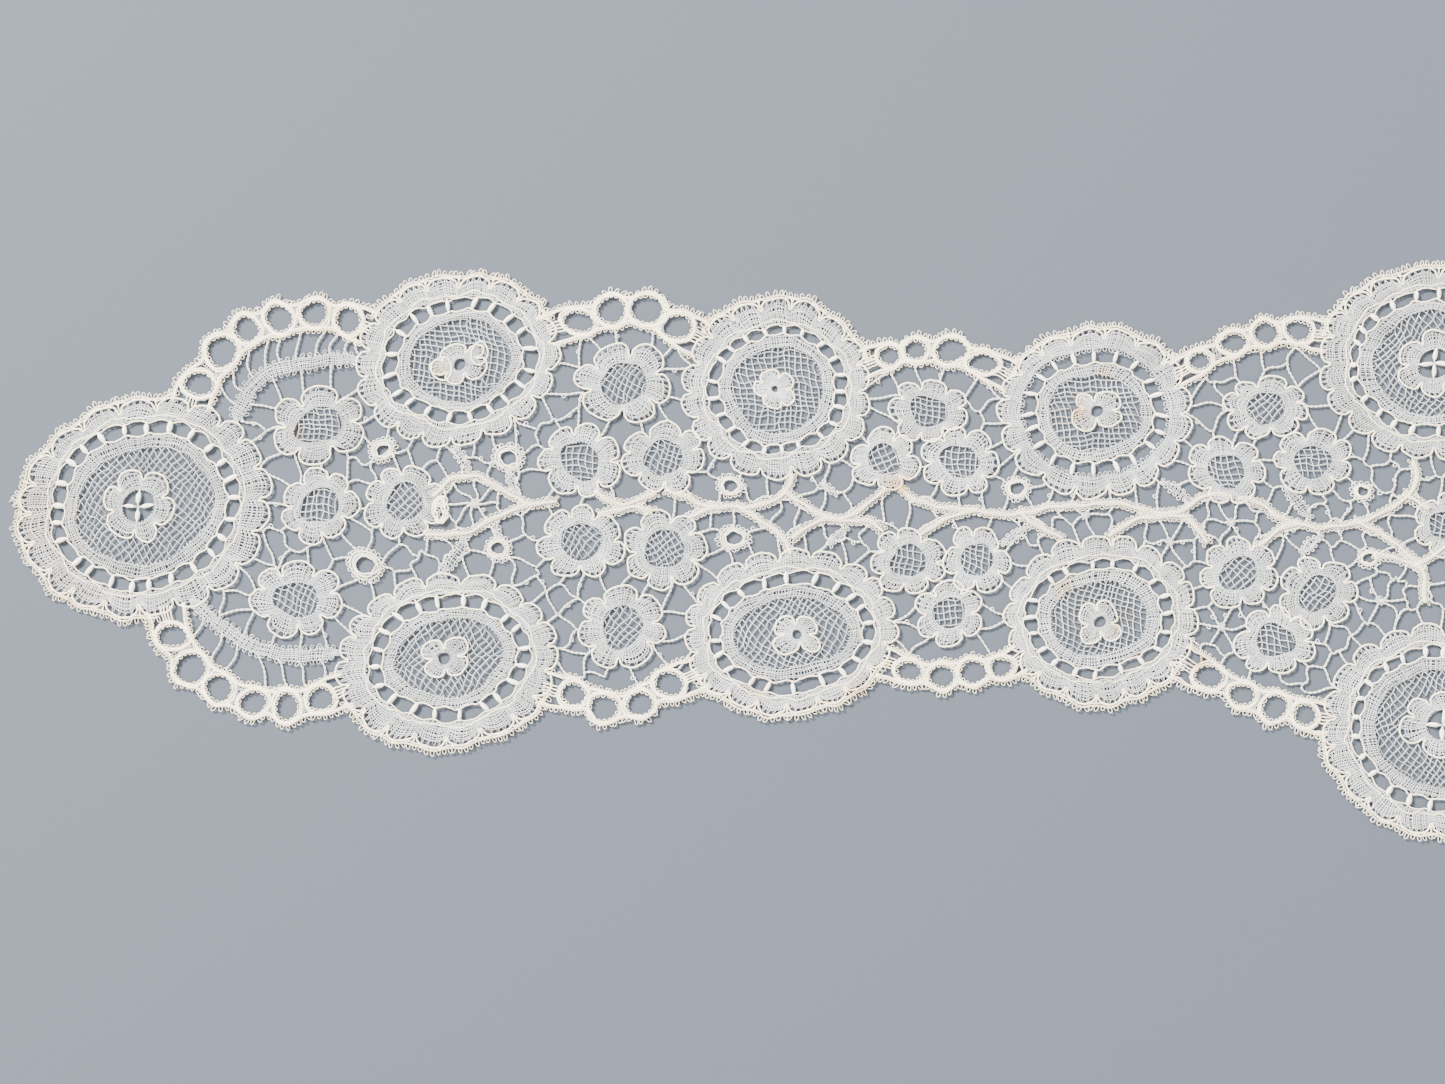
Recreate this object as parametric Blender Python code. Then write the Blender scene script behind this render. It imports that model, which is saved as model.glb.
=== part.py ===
"""A lappet of bobbin part lace, lying flat with its round end towards -X.

The motifs are worked one by one in cloth stitch and then joined by a ground of plaits. Each motif is a flat
sheet of its own with a narrow seam to its neighbours, and the ground is a sheet with a gap for each of its
meshes. The nets inside medallions and flowers lie lower than the cloth around them.

Sizes and places are in millimetres. Places are on a drawing of the lappet: x runs from the drawing's left
edge, and y runs up from the lappet's own axis.
"""

import math
from collections import namedtuple

import bmesh
import bpy
import numpy as np
from mathutils import Vector, geometry

MM = 0.001
SHEET = 1.0
NET_THICKNESS = 0.6
SEAM = 0.3

# The ground: the strip that follows a motif, the plaits between gaps, and the gaps' least and widest size.
RIM = 0.4
PLAIT = 0.7
LEAST_PITCH = 5.0
LEAST_HALF_GAP = 1.0
WIDEST_GAP = 9.0
LEAST_GAP_AREA = 5.8
LEAST_GAP_EDGE = 1.5
LEAST_GAP_BEND = 0.25

# How finely the ground's room is measured.
SPOT_STEP = 0.7
BORDER_STEP = 0.4

# The motifs: how deep their lobes are, the tallies and nets inside them, and the width of bands and braids.
SCALLOP_DEPTH = 1.0
TALLY = 1.3
PETAL_DEPTH = 1.5
INNER_PETAL_DEPTH = 0.8
NET_SHARE = 0.46
EYELET_RIM = 1.9
LINK_HALF = 1.5
ARC_HALF = 1.2
STEM_HALF = 0.85
WIDE_HOLE = 2.0
WIDE_HOLE_CORNER = 0.72

# The plain heading at the cut end.
HEADING_X = (311.2, 315.2)
HEADING_Y = (-48.4, 33.0)

# How many sides the round outlines have, and the clearances that other pieces keep around them.
NET_SIDES = 15
FLOWER_NET_SIDES = 8
RING_SIDES = 10
EYELET_SIDES = 7
HOLE_SIDES = 6
GAP_SIDES = 8
MEDALLION_CLEARANCE_SIDES = 18
FLOWER_CLEARANCE_SIDES = 10
RING_CLEARANCE_SIDES = 8
EYELET_CLEARANCE_SIDES = 9

# Shorter edges, smaller bends and smaller pockets than these are left out of an outline.
LEAST_EDGE = 0.15
LEAST_BEND = 0.07
LEAST_POCKET = 0.3
TINY = 1e-4
WELD_METRES = 1e-7

Medallion = namedtuple(
    "Medallion",
    "x y rx ry tilt in_x in_y window_rx window_ry ring_rx ring_ry net_rx net_ry"
    " flower_x flower_y flower_rx flower_ry petals hole scallops windows",
)
MEDALLIONS = [
    Medallion(29.3, 0.5, 25.6, 21.7, 18, 29.2, 0.9, 19.2, 17.0, 16.4, 14.2, 13.8, 11.2,
              28.0, 1.4, 7.4, 7.3, 6, 3.1, 20, 12),
    Medallion(91.4, 29.8, 20.4, 17.1, 10, 92.0, 29.8, 15.8, 12.5, 12.5, 9.9, 9.8, 8.2,
              92.0, 29.2, 5.5, 4.2, 5, 1.2, 18, 10),
    Medallion(89.5, -30.1, 22.1, 17.5, 8, 90.0, -29.6, 16.4, 12.8, 13.4, 9.9, 10.4, 7.6,
              89.3, -29.4, 4.9, 4.7, 4, 1.2, 19, 10),
    Medallion(155.4, 24.1, 19.1, 18.0, 0, 155.6, 24.0, 14.2, 12.9, 11.5, 11.0, 9.0, 8.3,
              155.1, 24.3, 4.3, 4.0, 5, 0.7, 18, 10),
    Medallion(158.0, -24.2, 21.4, 16.4, 5, 158.2, -24.6, 16.8, 12.3, 14.2, 9.5, 11.4, 6.7,
              159.1, -25.2, 5.0, 4.4, 4, 1.0, 19, 10),
    Medallion(219.0, 19.3, 19.4, 17.1, 0, 218.9, 19.4, 14.8, 12.8, 11.7, 10.0, 9.1, 7.4,
              219.1, 20.0, 5.4, 4.4, 4, 1.2, 17, 10),
    Medallion(220.2, -21.8, 19.5, 16.8, 6, 219.9, -21.6, 15.2, 12.0, 12.5, 9.9, 9.6, 6.9,
              219.6, -22.6, 4.6, 4.7, 4, 1.2, 18, 10),
    Medallion(287.2, 29.2, 23.6, 19.2, 0, 287.2, 29.2, 17.6, 15.0, 15.8, 12.4, 12.2, 10.4,
              286.8, 29.0, 7.4, 6.8, 6, 3.0, 20, 12),
    Medallion(288.6, -44.2, 24.4, 21.2, -14, 288.2, -44.0, 18.4, 16.6, 16.4, 14.0, 13.2, 11.3,
              288.2, -43.2, 8.8, 6.6, 6, 3.0, 21, 12),
]
UPPER_END, LOWER_END = 7, 8

Flower = namedtuple("Flower", "x y rx ry petals turn")
FLOWERS = [
    Flower(63.7, 16.9, 9.5, 7.9, 6, 0),
    Flower(59.5, -17.8, 9.4, 7.6, 7, 10),
    Flower(64.0, 0.8, 7.6, 7.6, 7, 24),
    Flower(81.0, 1.4, 8.2, 7.4, 8, 0),
    Flower(124.9, 25.3, 9.6, 8.5, 6, 20),
    Flower(116.2, 9.8, 8.4, 7.4, 7, 0),
    Flower(132.8, 10.4, 8.6, 7.0, 7, 16),
    Flower(116.3, -6.5, 8.8, 7.4, 7, 8),
    Flower(133.0, -8.0, 8.5, 8.0, 7, 30),
    Flower(124.4, -23.4, 9.0, 8.4, 7, 12),
    Flower(185.5, 19.9, 8.0, 6.4, 7, 0),
    Flower(177.0, 9.9, 7.0, 6.3, 6, 12),
    Flower(192.0, 9.5, 7.8, 7.1, 7, 24),
    Flower(181.5, -10.3, 7.5, 6.8, 7, 6),
    Flower(195.2, -10.1, 7.0, 6.6, 6, 30),
    Flower(189.8, -20.8, 6.9, 6.8, 6, 0),
    Flower(253.0, 20.4, 8.4, 6.5, 8, 10),
    Flower(245.2, 8.0, 7.9, 6.7, 7, 20),
    Flower(262.6, 9.7, 8.1, 6.7, 7, 0),
    Flower(247.7, -12.6, 8.1, 7.0, 7, 14),
    Flower(263.5, -16.6, 7.8, 7.5, 7, 28),
    Flower(254.9, -26.2, 8.0, 7.0, 7, 4),
    Flower(289.4, -3.4, 6.8, 6.6, 7, 18),
]

# Each edge band runs between two medallions, given by their places in the list above.
Eyelet = namedtuple("Eyelet", "x y rx ry")
EDGE_BANDS = [
    (0, 1, [Eyelet(40.1, 25.1, 2.6, 2.0), Eyelet(44.3, 31.7, 2.6, 2.7), Eyelet(49.4, 35.9, 2.0, 2.2),
            Eyelet(56.0, 38.5, 2.3, 2.3), Eyelet(63.2, 39.1, 2.3, 2.1), Eyelet(70.0, 38.0, 2.1, 2.2)]),
    (1, 3, [Eyelet(115.8, 37.6, 2.6, 1.7), Eyelet(122.5, 40.0, 2.5, 2.4), Eyelet(129.7, 39.8, 3.1, 2.3),
            Eyelet(135.6, 36.8, 2.8, 2.0)]),
    (3, 5, [Eyelet(177.8, 30.6, 1.9, 1.5), Eyelet(182.9, 32.2, 2.0, 1.5), Eyelet(190.1, 31.7, 2.6, 2.0),
            Eyelet(196.4, 29.4, 2.6, 1.5)]),
    (5, 7, [Eyelet(239.8, 29.5, 1.9, 1.3), Eyelet(246.3, 33.6, 2.3, 1.5), Eyelet(252.9, 35.1, 2.2, 1.8),
            Eyelet(259.7, 36.0, 2.3, 1.7)]),
    (8, 6, [Eyelet(260.7, -40.9, 1.8, 1.8), Eyelet(254.7, -39.6, 2.2, 2.2), Eyelet(248.1, -36.8, 2.2, 1.7),
            Eyelet(241.9, -33.5, 2.5, 1.8)]),
    (6, 4, [Eyelet(200.3, -31.3, 1.9, 1.5), Eyelet(194.9, -32.6, 2.3, 2.0), Eyelet(188.5, -33.2, 2.4, 1.7),
            Eyelet(182.0, -32.2, 2.1, 1.7)]),
    (4, 2, [Eyelet(134.1, -34.9, 2.6, 2.0), Eyelet(127.8, -38.7, 2.4, 2.0), Eyelet(120.7, -39.5, 2.5, 2.1),
            Eyelet(114.6, -37.0, 2.1, 1.8)]),
    (2, 0, [Eyelet(64.1, -37.7, 2.3, 2.0), Eyelet(57.4, -39.2, 1.9, 2.4), Eyelet(50.6, -38.7, 2.4, 2.0),
            Eyelet(44.1, -35.5, 2.2, 2.4), Eyelet(38.4, -31.8, 2.7, 2.8), Eyelet(34.5, -25.4, 2.6, 1.9)]),
]

ARC_BANDS = [
    [(48.0, 20.2), (50.8, 24.8), (54.0, 27.2), (58.4, 29.0), (65.4, 29.8), (70.4, 30.2)],
    [(40.8, -19.6), (43.8, -22.6), (48.2, -26.2), (51.9, -27.8), (58.2, -28.8), (66.6, -28.8)],
]

Ring = namedtuple("Ring", "x y rx ry hole")
SMALL_RINGS = [
    Ring(76.7, 12.1, 2.8, 2.6, 1.0),
    Ring(101.9, 10.5, 3.2, 2.8, 1.3),
    Ring(73.0, -11.0, 3.6, 3.4, 1.5),
    Ring(99.8, -8.0, 2.7, 2.6, 1.1),
    Ring(146.8, -5.8, 3.2, 2.5, 1.2),
    Ring(145.9, 4.7, 2.8, 2.3, 1.1),
    Ring(203.3, 4.2, 2.7, 2.3, 1.1),
    Ring(272.1, 3.6, 2.3, 2.0, 0.9),
    Ring(273.4, -9.9, 2.2, 2.0, 0.9),
]

# The stem's braids, each a group of branches that grow together.
STEMS = [
    [
        [(89.4, 5.9), (91.9, 6.5), (95.6, 6.4), (98.6, 4.9), (103.0, 2.7), (105.9, 1.4), (110.4, 1.6)],
        [(86.0, -5.2), (90.0, -4.8), (94.8, -4.0), (98.6, -2.1), (101.5, -0.6), (105.0, 1.2)],
    ],
    [
        [(119.7, 3.6), (121.2, 2.6), (123.3, 1.5), (125.9, 1.2), (128.4, 2.1), (130.2, 3.0)],
        [(120.8, -0.4), (123.3, 0.0), (125.9, 0.5), (127.9, 0.2), (129.7, -0.3)],
    ],
    [
        [(133.8, 3.8), (136.8, 3.0), (139.4, 1.5), (141.9, 0.5), (145.6, 0.4), (150.3, 0.7),
         (153.9, 1.9), (156.7, 3.1), (158.0, 6.0)],
        [(138.1, -1.0), (140.1, -0.3), (142.8, 0.4)],
        [(148.1, 0.4), (151.3, -1.3), (154.8, -3.6), (157.0, -5.8), (157.7, -8.0)],
        [(159.2, -5.2), (163.1, -2.8), (166.3, -1.8), (169.8, -2.0), (173.6, -2.1), (176.2, -3.9)],
        [(157.0, 3.4), (160.2, 1.2), (163.7, -0.9), (166.3, -1.5), (169.2, -1.2), (172.0, 0.3),
         (176.2, 3.3)],
    ],
    [
        [(180.2, 4.4), (182.0, 2.8), (185.0, 1.7), (188.7, 0.4), (192.8, -0.2), (202.1, -0.7),
         (207.0, -0.4), (210.7, 0.6), (214.4, 1.0), (218.6, 1.2), (222.3, 1.1), (225.4, 0.8),
         (229.7, -0.2), (234.2, -0.4), (237.0, 0.2), (239.8, 2.2), (242.6, 3.3), (244.6, 3.0)],
        [(184.7, -4.4), (186.6, -3.1), (190.4, -1.5), (194.6, -0.4)],
        [(204.0, -0.6), (207.5, -3.1), (211.8, -5.5)],
        [(222.5, -4.9), (224.9, -3.4), (228.0, -1.8), (231.7, -1.1), (236.3, -1.2), (239.0, -3.1),
         (240.9, -6.2)],
    ],
    [
        [(248.2, 2.4), (250.5, 1.9), (253.3, 0.2), (255.0, -1.3), (258.2, -2.6), (263.2, -3.3),
         (266.8, -3.1), (272.2, -2.7), (277.2, 0.0), (281.4, 3.0), (283.0, 6.1), (282.6, 8.8)],
        [(252.6, -6.3), (255.2, -4.6), (259.0, -2.9)],
        [(271.6, -2.7), (276.4, -5.0), (280.2, -7.7), (283.7, -11.0), (284.9, -14.8), (284.9, -18.0)],
        [(275.3, -9.1), (280.6, -9.9), (283.8, -11.6)],
        [(281.0, 3.0), (285.2, 0.4)],
        [(283.2, -10.8), (288.3, -8.0)],
    ],
]

CLOTH_WHITE = (0.80, 0.82, 0.84, 1.0)
STEM_CREAM = (0.86, 0.83, 0.74, 1.0)
PLAIT_WHITE = (0.80, 0.79, 0.75, 1.0)
ROUGHNESS = 0.85
GROUND_PLACE = (160.0, 0.0)


def polygon(x, y, rx, ry, count, turn=0.0):
    """Points on an ellipse."""
    angles = math.radians(turn) + np.arange(count) * math.tau / count
    return np.column_stack((x + rx * np.cos(angles), y + ry * np.sin(angles)))


def around(x, y, rx, ry, count, grow=0.0):
    """A polygon whose sides touch an ellipse from outside, once it has been grown."""
    wider = 1 / math.cos(math.pi / count)
    return polygon(x, y, (rx + grow) * wider, (ry + grow) * wider, count, 180 / count)


def lobed(x, y, rx, ry, lobes, depth, turn=0.0, shoulders=(0.25, 0.75)):
    """An ellipse with a notch between each two lobes, and points on each lobe at its shoulders."""
    points = []
    for lobe in range(lobes):
        for share, inward in ((0.0, depth), *((s, 0.0) for s in shoulders)):
            angle = math.radians(turn) + (lobe + share) * math.tau / lobes
            points.append((x + (rx - inward) * math.cos(angle), y + (ry - inward) * math.sin(angle)))
    return np.array(points)


def ribbon(route, half, longer=0.0):
    """The outline of a strip along a route, with square ends that reach a little further."""
    line = np.array(route, float)
    line[0] += longer * unit(line[0] - line[1])
    line[-1] += longer * unit(line[-1] - line[-2])
    steps = np.diff(line, axis=0)
    steps /= np.linalg.norm(steps, axis=1)[:, None]
    along = np.vstack((steps[:1], steps[:-1] + steps[1:], steps[-1:]))
    along /= np.linalg.norm(along, axis=1)[:, None]
    side = np.column_stack((-along[:, 1], along[:, 0])) * half
    return np.vstack((line - side, (line + side)[::-1]))


def unit(vector):
    return vector / np.linalg.norm(vector)


def tilted(points, m):
    """Points of a medallion's own outlines, turned about its middle by its tilt."""
    angle, middle = math.radians(m.tilt), np.array((m.x, m.y))
    across, up = (np.asarray(points) - middle).T
    x = across * math.cos(angle) - up * math.sin(angle)
    y = across * math.sin(angle) + up * math.cos(angle)
    return np.column_stack((x, y)) + middle


def area_of(loop):
    """The area of a loop, negative where it runs clockwise."""
    x, y = np.asarray(loop).T
    return 0.5 * float(np.dot(x, np.roll(y, -1)) - np.dot(y, np.roll(x, -1)))


def tidied(loop, least_edge=LEAST_EDGE, least_bend=LEAST_BEND):
    """The loop without points that are close together or in line with their neighbours."""
    points = [np.asarray(p) for p in loop]
    spot = 0
    while spot < len(points) and len(points) > 3:
        before, here, after = points[spot - 1], points[spot], points[(spot + 1) % len(points)]
        chord = after - before
        bend = abs(chord[0] * (here - before)[1] - chord[1] * (here - before)[0])
        bend /= max(np.linalg.norm(chord), TINY)
        if np.linalg.norm(here - before) < least_edge or bend < least_bend:
            points.pop(spot)
        else:
            spot += 1
    return np.array(points)


def merge(adds, cuts=()):
    """The area that the adds cover and no cut does, as its separate fields, the largest first.

    Each field is a list of loops, its outer edge first and then its holes.
    """
    shapes = [s if area_of(s) > 0 else s[::-1] for s in (*adds, *cuts)]
    points, faces = [], []
    for shape in shapes:
        faces.append(list(range(len(points), len(points) + len(shape))))
        points += [Vector(p) for p in shape]
    spots, _, triangles, _, _, owners = geometry.delaunay_2d_cdt(points, [], faces, 0, TINY)
    kept = [t for t, o in zip(triangles, owners) if o and max(o) < len(adds)]
    fields = []
    for group in connected(kept):
        loops = [tidied([spots[i] for i in chain]) for chain in borders(group)]
        loops.sort(key=area_of, reverse=True)
        fields.append([loops[0], *(loop for loop in loops[1:] if area_of(loop) < -LEAST_POCKET)])
    fields.sort(key=lambda loops: area_of(loops[0]), reverse=True)
    return fields


def connected(triangles):
    """The triangles in groups that share edges."""
    owner = {(t[i - 1], t[i]): n for n, t in enumerate(triangles) for i in range(3)}
    left, groups = set(range(len(triangles))), []
    while left:
        queue, group = [min(left)], []
        left.discard(queue[0])
        while queue:
            here = triangles[queue.pop()]
            group.append(here)
            for i in range(3):
                other = owner.get((here[i], here[i - 1]))
                if other in left:
                    left.discard(other)
                    queue.append(other)
        groups.append(group)
    return groups


def borders(triangles):
    """The closed chains of points around a group of triangles."""
    edges = {(t[i - 1], t[i]) for t in triangles for i in range(3)}
    onward = {}
    for a, b in sorted(edges):
        if (b, a) not in edges:
            onward.setdefault(a, []).append(b)
    chains = []
    while onward:
        start = min(onward)
        chain, here = [], start
        while here in onward:
            chain.append(here)
            after = onward[here].pop()
            if not onward[here]:
                del onward[here]
            here = after
        chains.append(chain)
    return chains


def inside(points, loops):
    """Which points lie in the area that the loops enclose."""
    odd = np.zeros(len(points), bool)
    for loop in loops:
        for (ax, ay), (bx, by) in zip(loop, np.roll(loop, -1, axis=0)):
            if ay != by:
                crossing = (points[:, 1] > min(ay, by)) & (points[:, 1] <= max(ay, by))
                odd ^= crossing & (points[:, 0] < ax + (points[:, 1] - ay) * (bx - ax) / (by - ay))
    return odd


def along_loops(loops, step):
    """Points along the loops, about a step apart."""
    found = []
    for loop in loops:
        for a, b in zip(loop, np.roll(loop, -1, axis=0)):
            count = max(1, math.ceil(np.linalg.norm(b - a) / step))
            found += [a + (b - a) * i / count for i in range(count)]
    return np.array(found)


def gap_centres(loops, border):
    """Centres for the gaps of a field: each new one goes where there is most room, until room runs out."""
    low, high = border.min(axis=0), border.max(axis=0)
    grid = np.meshgrid(np.arange(low[0], high[0], SPOT_STEP), np.arange(low[1], high[1], SPOT_STEP))
    spots = np.column_stack([g.ravel() for g in grid])
    spots = spots[inside(spots, loops)]
    room = np.array([np.linalg.norm(border - s, axis=1).min() for s in spots])
    room = (room - RIM) * LEAST_PITCH / LEAST_HALF_GAP
    centres = []
    while room.max() > LEAST_PITCH:
        best = spots[int(room.argmax())]
        centres.append(best)
        room = np.minimum(room, np.linalg.norm(spots - best, axis=1))
    return np.array(centres)


def clipped(corners, normal, offset):
    """The convex outline's part where a point's share along the normal is at most the offset."""
    kept = []
    for a, b in zip(corners, np.roll(corners, -1, axis=0)):
        over_a, over_b = a @ normal - offset, b @ normal - offset
        if over_a <= 0:
            kept.append(a)
        if over_a * over_b < 0:
            kept.append(a + (b - a) * over_a / (over_a - over_b))
    return np.array(kept)


def gap_outline(centre, centres, border):
    """A convex gap around its centre, a plait away from its neighbours and a rim away from the border."""
    reach = WIDEST_GAP / 2
    corners = polygon(0, 0, reach, reach, GAP_SIDES)
    planes = []
    for other in centres:
        apart = np.linalg.norm(other - centre)
        if TINY < apart < 3 * reach:
            planes.append(((other - centre) / apart, (apart - PLAIT) / 2))
    for normal, offset in planes:
        corners = clipped(corners, normal, offset)
    near = border[np.linalg.norm(border - centre, axis=1) < reach + RIM] - centre
    while len(near):
        nearest = near[np.linalg.norm(near, axis=1).argmin()]
        normal, offset = unit(nearest), np.linalg.norm(nearest) - RIM
        corners = clipped(corners, normal, offset)
        near = near[near @ normal < offset + RIM - TINY]
    return tidied(corners, LEAST_GAP_EDGE, LEAST_GAP_BEND) + centre


def gaps_in(loops):
    """The gaps of one field of the ground."""
    border = along_loops(loops, BORDER_STEP)
    centres = gap_centres(loops, border)
    gaps = [gap_outline(c, centres, border) for c in centres]
    return [g for g in gaps if len(g) > 2 and area_of(g) > LEAST_GAP_AREA]


def windows_of(m):
    """The windows between a medallion's tallies, each a strip of the space between its two rings."""
    mean = (m.window_rx + m.window_ry + m.ring_rx + m.ring_ry) / 4
    tally = TALLY / mean
    step = math.tau / m.windows
    found = []
    for number in range(m.windows):
        first, last = number * step + tally / 2, (number + 1) * step - tally / 2
        outer = [(a, m.window_rx, m.window_ry) for a in np.linspace(first, last, 3)]
        inner = [(a, m.ring_rx, m.ring_ry) for a in (last, first)]
        points = [(m.in_x + rx * math.cos(a), m.in_y + ry * math.sin(a)) for a, rx, ry in outer + inner]
        found.append(tilted(points, m))
    return found


def centre_holes(m):
    """A small round hole, or a wide one that four leaf tallies cross."""
    if m.hole < WIDE_HOLE:
        return [tilted(polygon(m.flower_x, m.flower_y, m.hole, m.hole, HOLE_SIDES), m)]
    arm, corner = TALLY / 2, m.hole * WIDE_HOLE_CORNER
    holes = []
    for quarter in range(4):
        points = np.array([(arm, arm), (m.hole, arm), (corner, corner), (arm, m.hole)])
        turn = quarter * math.pi / 2
        spun = np.array([[math.cos(turn), math.sin(turn)], [-math.sin(turn), math.cos(turn)]])
        holes.append(tilted(points @ spun + (m.flower_x, m.flower_y), m))
    return holes


def own_material(name, colour):
    made = bpy.data.materials.new(name)
    made.use_nodes = True
    made.diffuse_color = colour
    shader = made.node_tree.nodes["Principled BSDF"]
    shader.inputs["Base Color"].default_value = colour
    shader.inputs["Roughness"].default_value = ROUGHNESS
    shader.inputs["Metallic"].default_value = 0.0
    return made


def flat_curve(name, loops, centre, low, high, collection):
    """A flat sheet with these outlines between two heights, as an extruded 2D curve."""
    curve = bpy.data.curves.new(name, "CURVE")
    curve.dimensions = "2D"
    curve.fill_mode = "BOTH"
    curve.extrude = (high - low) / 2 * MM
    for loop in loops:
        spline = curve.splines.new("POLY")
        spline.points.add(len(loop) - 1)
        spline.use_cyclic_u = True
        for point, (x, y) in zip(spline.points, loop):
            point.co = ((x - centre[0]) * MM, (y - centre[1]) * MM, 0.0, 1.0)
    made = bpy.data.objects.new(name, curve)
    made.location = ((centre[0] - MIDDLE[0]) * MM, (centre[1] - MIDDLE[1]) * MM, (low + high) / 2 * MM)
    collection.objects.link(made)
    return made


def as_mesh(curve_object):
    """The same object as a mesh with its caps welded on and every face turned outwards."""
    bpy.context.view_layer.update()
    seen = curve_object.evaluated_get(bpy.context.evaluated_depsgraph_get())
    mesh = bpy.data.meshes.new_from_object(seen)
    work = bmesh.new()
    work.from_mesh(mesh)
    bmesh.ops.remove_doubles(work, verts=work.verts, dist=WELD_METRES)
    bmesh.ops.recalc_face_normals(work, faces=work.faces)
    work.to_mesh(mesh)
    work.free()
    name, collection = curve_object.name, curve_object.users_collection[0]
    place = curve_object.matrix_world.copy()
    curve = curve_object.data
    bpy.data.objects.remove(curve_object)
    bpy.data.curves.remove(curve)
    made = bpy.data.objects.new(name, mesh)
    made.matrix_world = place
    collection.objects.link(made)
    return made


def sheet(name, loops, centre, colour, net=None):
    """A sub-part: a flat sheet with its own material, and its net sunk by a cutter where it has one."""
    made = as_mesh(flat_curve(name, loops, centre, 0.0, SHEET, parts))
    if net:
        cutter = as_mesh(flat_curve(f"{name}_cutter", net, centre, NET_THICKNESS, 2 * SHEET, cutters))
        cutter.hide_render = True
        cutter.display_type = "WIRE"
        sink = made.modifiers.new("sunk net", "BOOLEAN")
        sink.operation = "DIFFERENCE"
        sink.solver = "EXACT"
        sink.object = cutter
    made.data.materials.append(own_material(f"{name}_thread", colour))
    return made


def heading_outline(grow=0.0):
    (left, right), (low, high) = HEADING_X, HEADING_Y
    left, right, low, high = left - grow, right + grow, low - grow, high + grow
    return np.array([(left, low), (right, low), (right, high), (left, high)])


def medallion_outline(m):
    return tilted(lobed(m.x, m.y, m.rx, m.ry, m.scallops, SCALLOP_DEPTH), m)


def medallion_bounds(grow):
    sides = MEDALLION_CLEARANCE_SIDES
    return [tilted(around(m.x, m.y, m.rx, m.ry, sides, grow), m) for m in MEDALLIONS]


def ring_bounds(grow):
    return [around(r.x, r.y, r.rx, r.ry, RING_CLEARANCE_SIDES, grow) for r in SMALL_RINGS]


def flower_bounds(grow):
    return [around(f.x, f.y, f.rx, f.ry, FLOWER_CLEARANCE_SIDES, grow) for f in FLOWERS]


def band_bounds(band, grow):
    """The rounds of an edge band's eyelets, and the links that join them to each other and the medallions."""
    first, last, eyelets = band
    ends = [MEDALLIONS[first], *eyelets, MEDALLIONS[last]]
    grown, sides = grow + EYELET_RIM, EYELET_CLEARANCE_SIDES
    rounds = [around(e.x, e.y, e.rx, e.ry, sides, grown) for e in eyelets]
    links = [ribbon([(a.x, a.y), (b.x, b.y)], LINK_HALF + grow) for a, b in zip(ends, ends[1:])]
    return rounds + links


def all_band_bounds(grow):
    return [bound for band in EDGE_BANDS for bound in band_bounds(band, grow)]


def make_medallions():
    for number, m in enumerate(MEDALLIONS, 1):
        cloth = merge([medallion_outline(m)], [heading_outline(SEAM)])[0]
        flower = lobed(m.flower_x, m.flower_y, m.flower_rx, m.flower_ry, m.petals, INNER_PETAL_DEPTH)
        net = [tilted(polygon(m.in_x, m.in_y, m.net_rx, m.net_ry, NET_SIDES), m), tilted(flower, m)]
        loops = cloth + windows_of(m) + centre_holes(m)
        sheet(f"medallion_{number}", loops, (m.x, m.y), CLOTH_WHITE, net)


def make_small_rings():
    for number, r in enumerate(SMALL_RINGS, 1):
        loops = [polygon(r.x, r.y, r.rx, r.ry, RING_SIDES), polygon(r.x, r.y, r.hole, r.hole, HOLE_SIDES)]
        sheet(f"small_ring_{number}", loops, (r.x, r.y), STEM_CREAM)


def make_flowers():
    for number, f in enumerate(FLOWERS, 1):
        outline = lobed(f.x, f.y, f.rx, f.ry, f.petals, PETAL_DEPTH, f.turn)
        earlier = flower_bounds(SEAM)[: number - 1]
        cloth = merge([outline], medallion_bounds(SEAM) + ring_bounds(SEAM) + earlier)[0]
        net = [polygon(f.x, f.y, f.rx * NET_SHARE, f.ry * NET_SHARE, FLOWER_NET_SIDES)]
        sheet(f"flower_{number:02d}", cloth, (f.x, f.y), CLOTH_WHITE, net)


def make_edge_bands():
    for number, band in enumerate(EDGE_BANDS, 1):
        eyelets = [polygon(e.x, e.y, e.rx, e.ry, EYELET_SIDES, turn=90) for e in band[2]]
        others = medallion_bounds(SEAM) + flower_bounds(SEAM)
        loops = merge(band_bounds(band, 0.0), others)[0]
        middle = band[2][len(band[2]) // 2]
        sheet(f"edge_band_{number}", loops[:1] + eyelets, (middle.x, middle.y), STEM_CREAM)


def make_arc_bands():
    for number, route in enumerate(ARC_BANDS, 1):
        others = medallion_bounds(SEAM) + flower_bounds(SEAM) + all_band_bounds(SEAM)
        loops = merge([ribbon(route, ARC_HALF)], others)[0]
        sheet(f"arc_band_{number}", loops, route[len(route) // 2], CLOTH_WHITE)


def stem_fields(stem, grow, clear):
    """A stem's outlines, grown by so much and this far clear of every motif."""
    strips = [ribbon(branch, STEM_HALF + grow, grow) for branch in stem]
    motifs = medallion_bounds(clear) + flower_bounds(clear) + ring_bounds(clear)
    return merge(strips, motifs)


def make_stems():
    for number, stem in enumerate(STEMS, 1):
        loops = stem_fields(stem, 0.0, RIM + 2 * SEAM)[0]
        sheet(f"stem_{number}", loops, stem[0][len(stem[0]) // 2], STEM_CREAM)


def ground_edge():
    """How far the ground reaches: from motif to motif along both edges, and along the heading."""
    inner = HEADING_X[0] - SEAM
    upper, lower = MEDALLIONS[UPPER_END], MEDALLIONS[LOWER_END]
    edge = []
    for first, last, eyelets in EDGE_BANDS:
        edge.append((MEDALLIONS[first].x, MEDALLIONS[first].y))
        edge += [(e.x, e.y) for e in eyelets]
        if last == UPPER_END:
            edge += [(upper.x, upper.y), (inner, upper.y), (inner, lower.y)]
    return np.array(edge)


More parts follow.
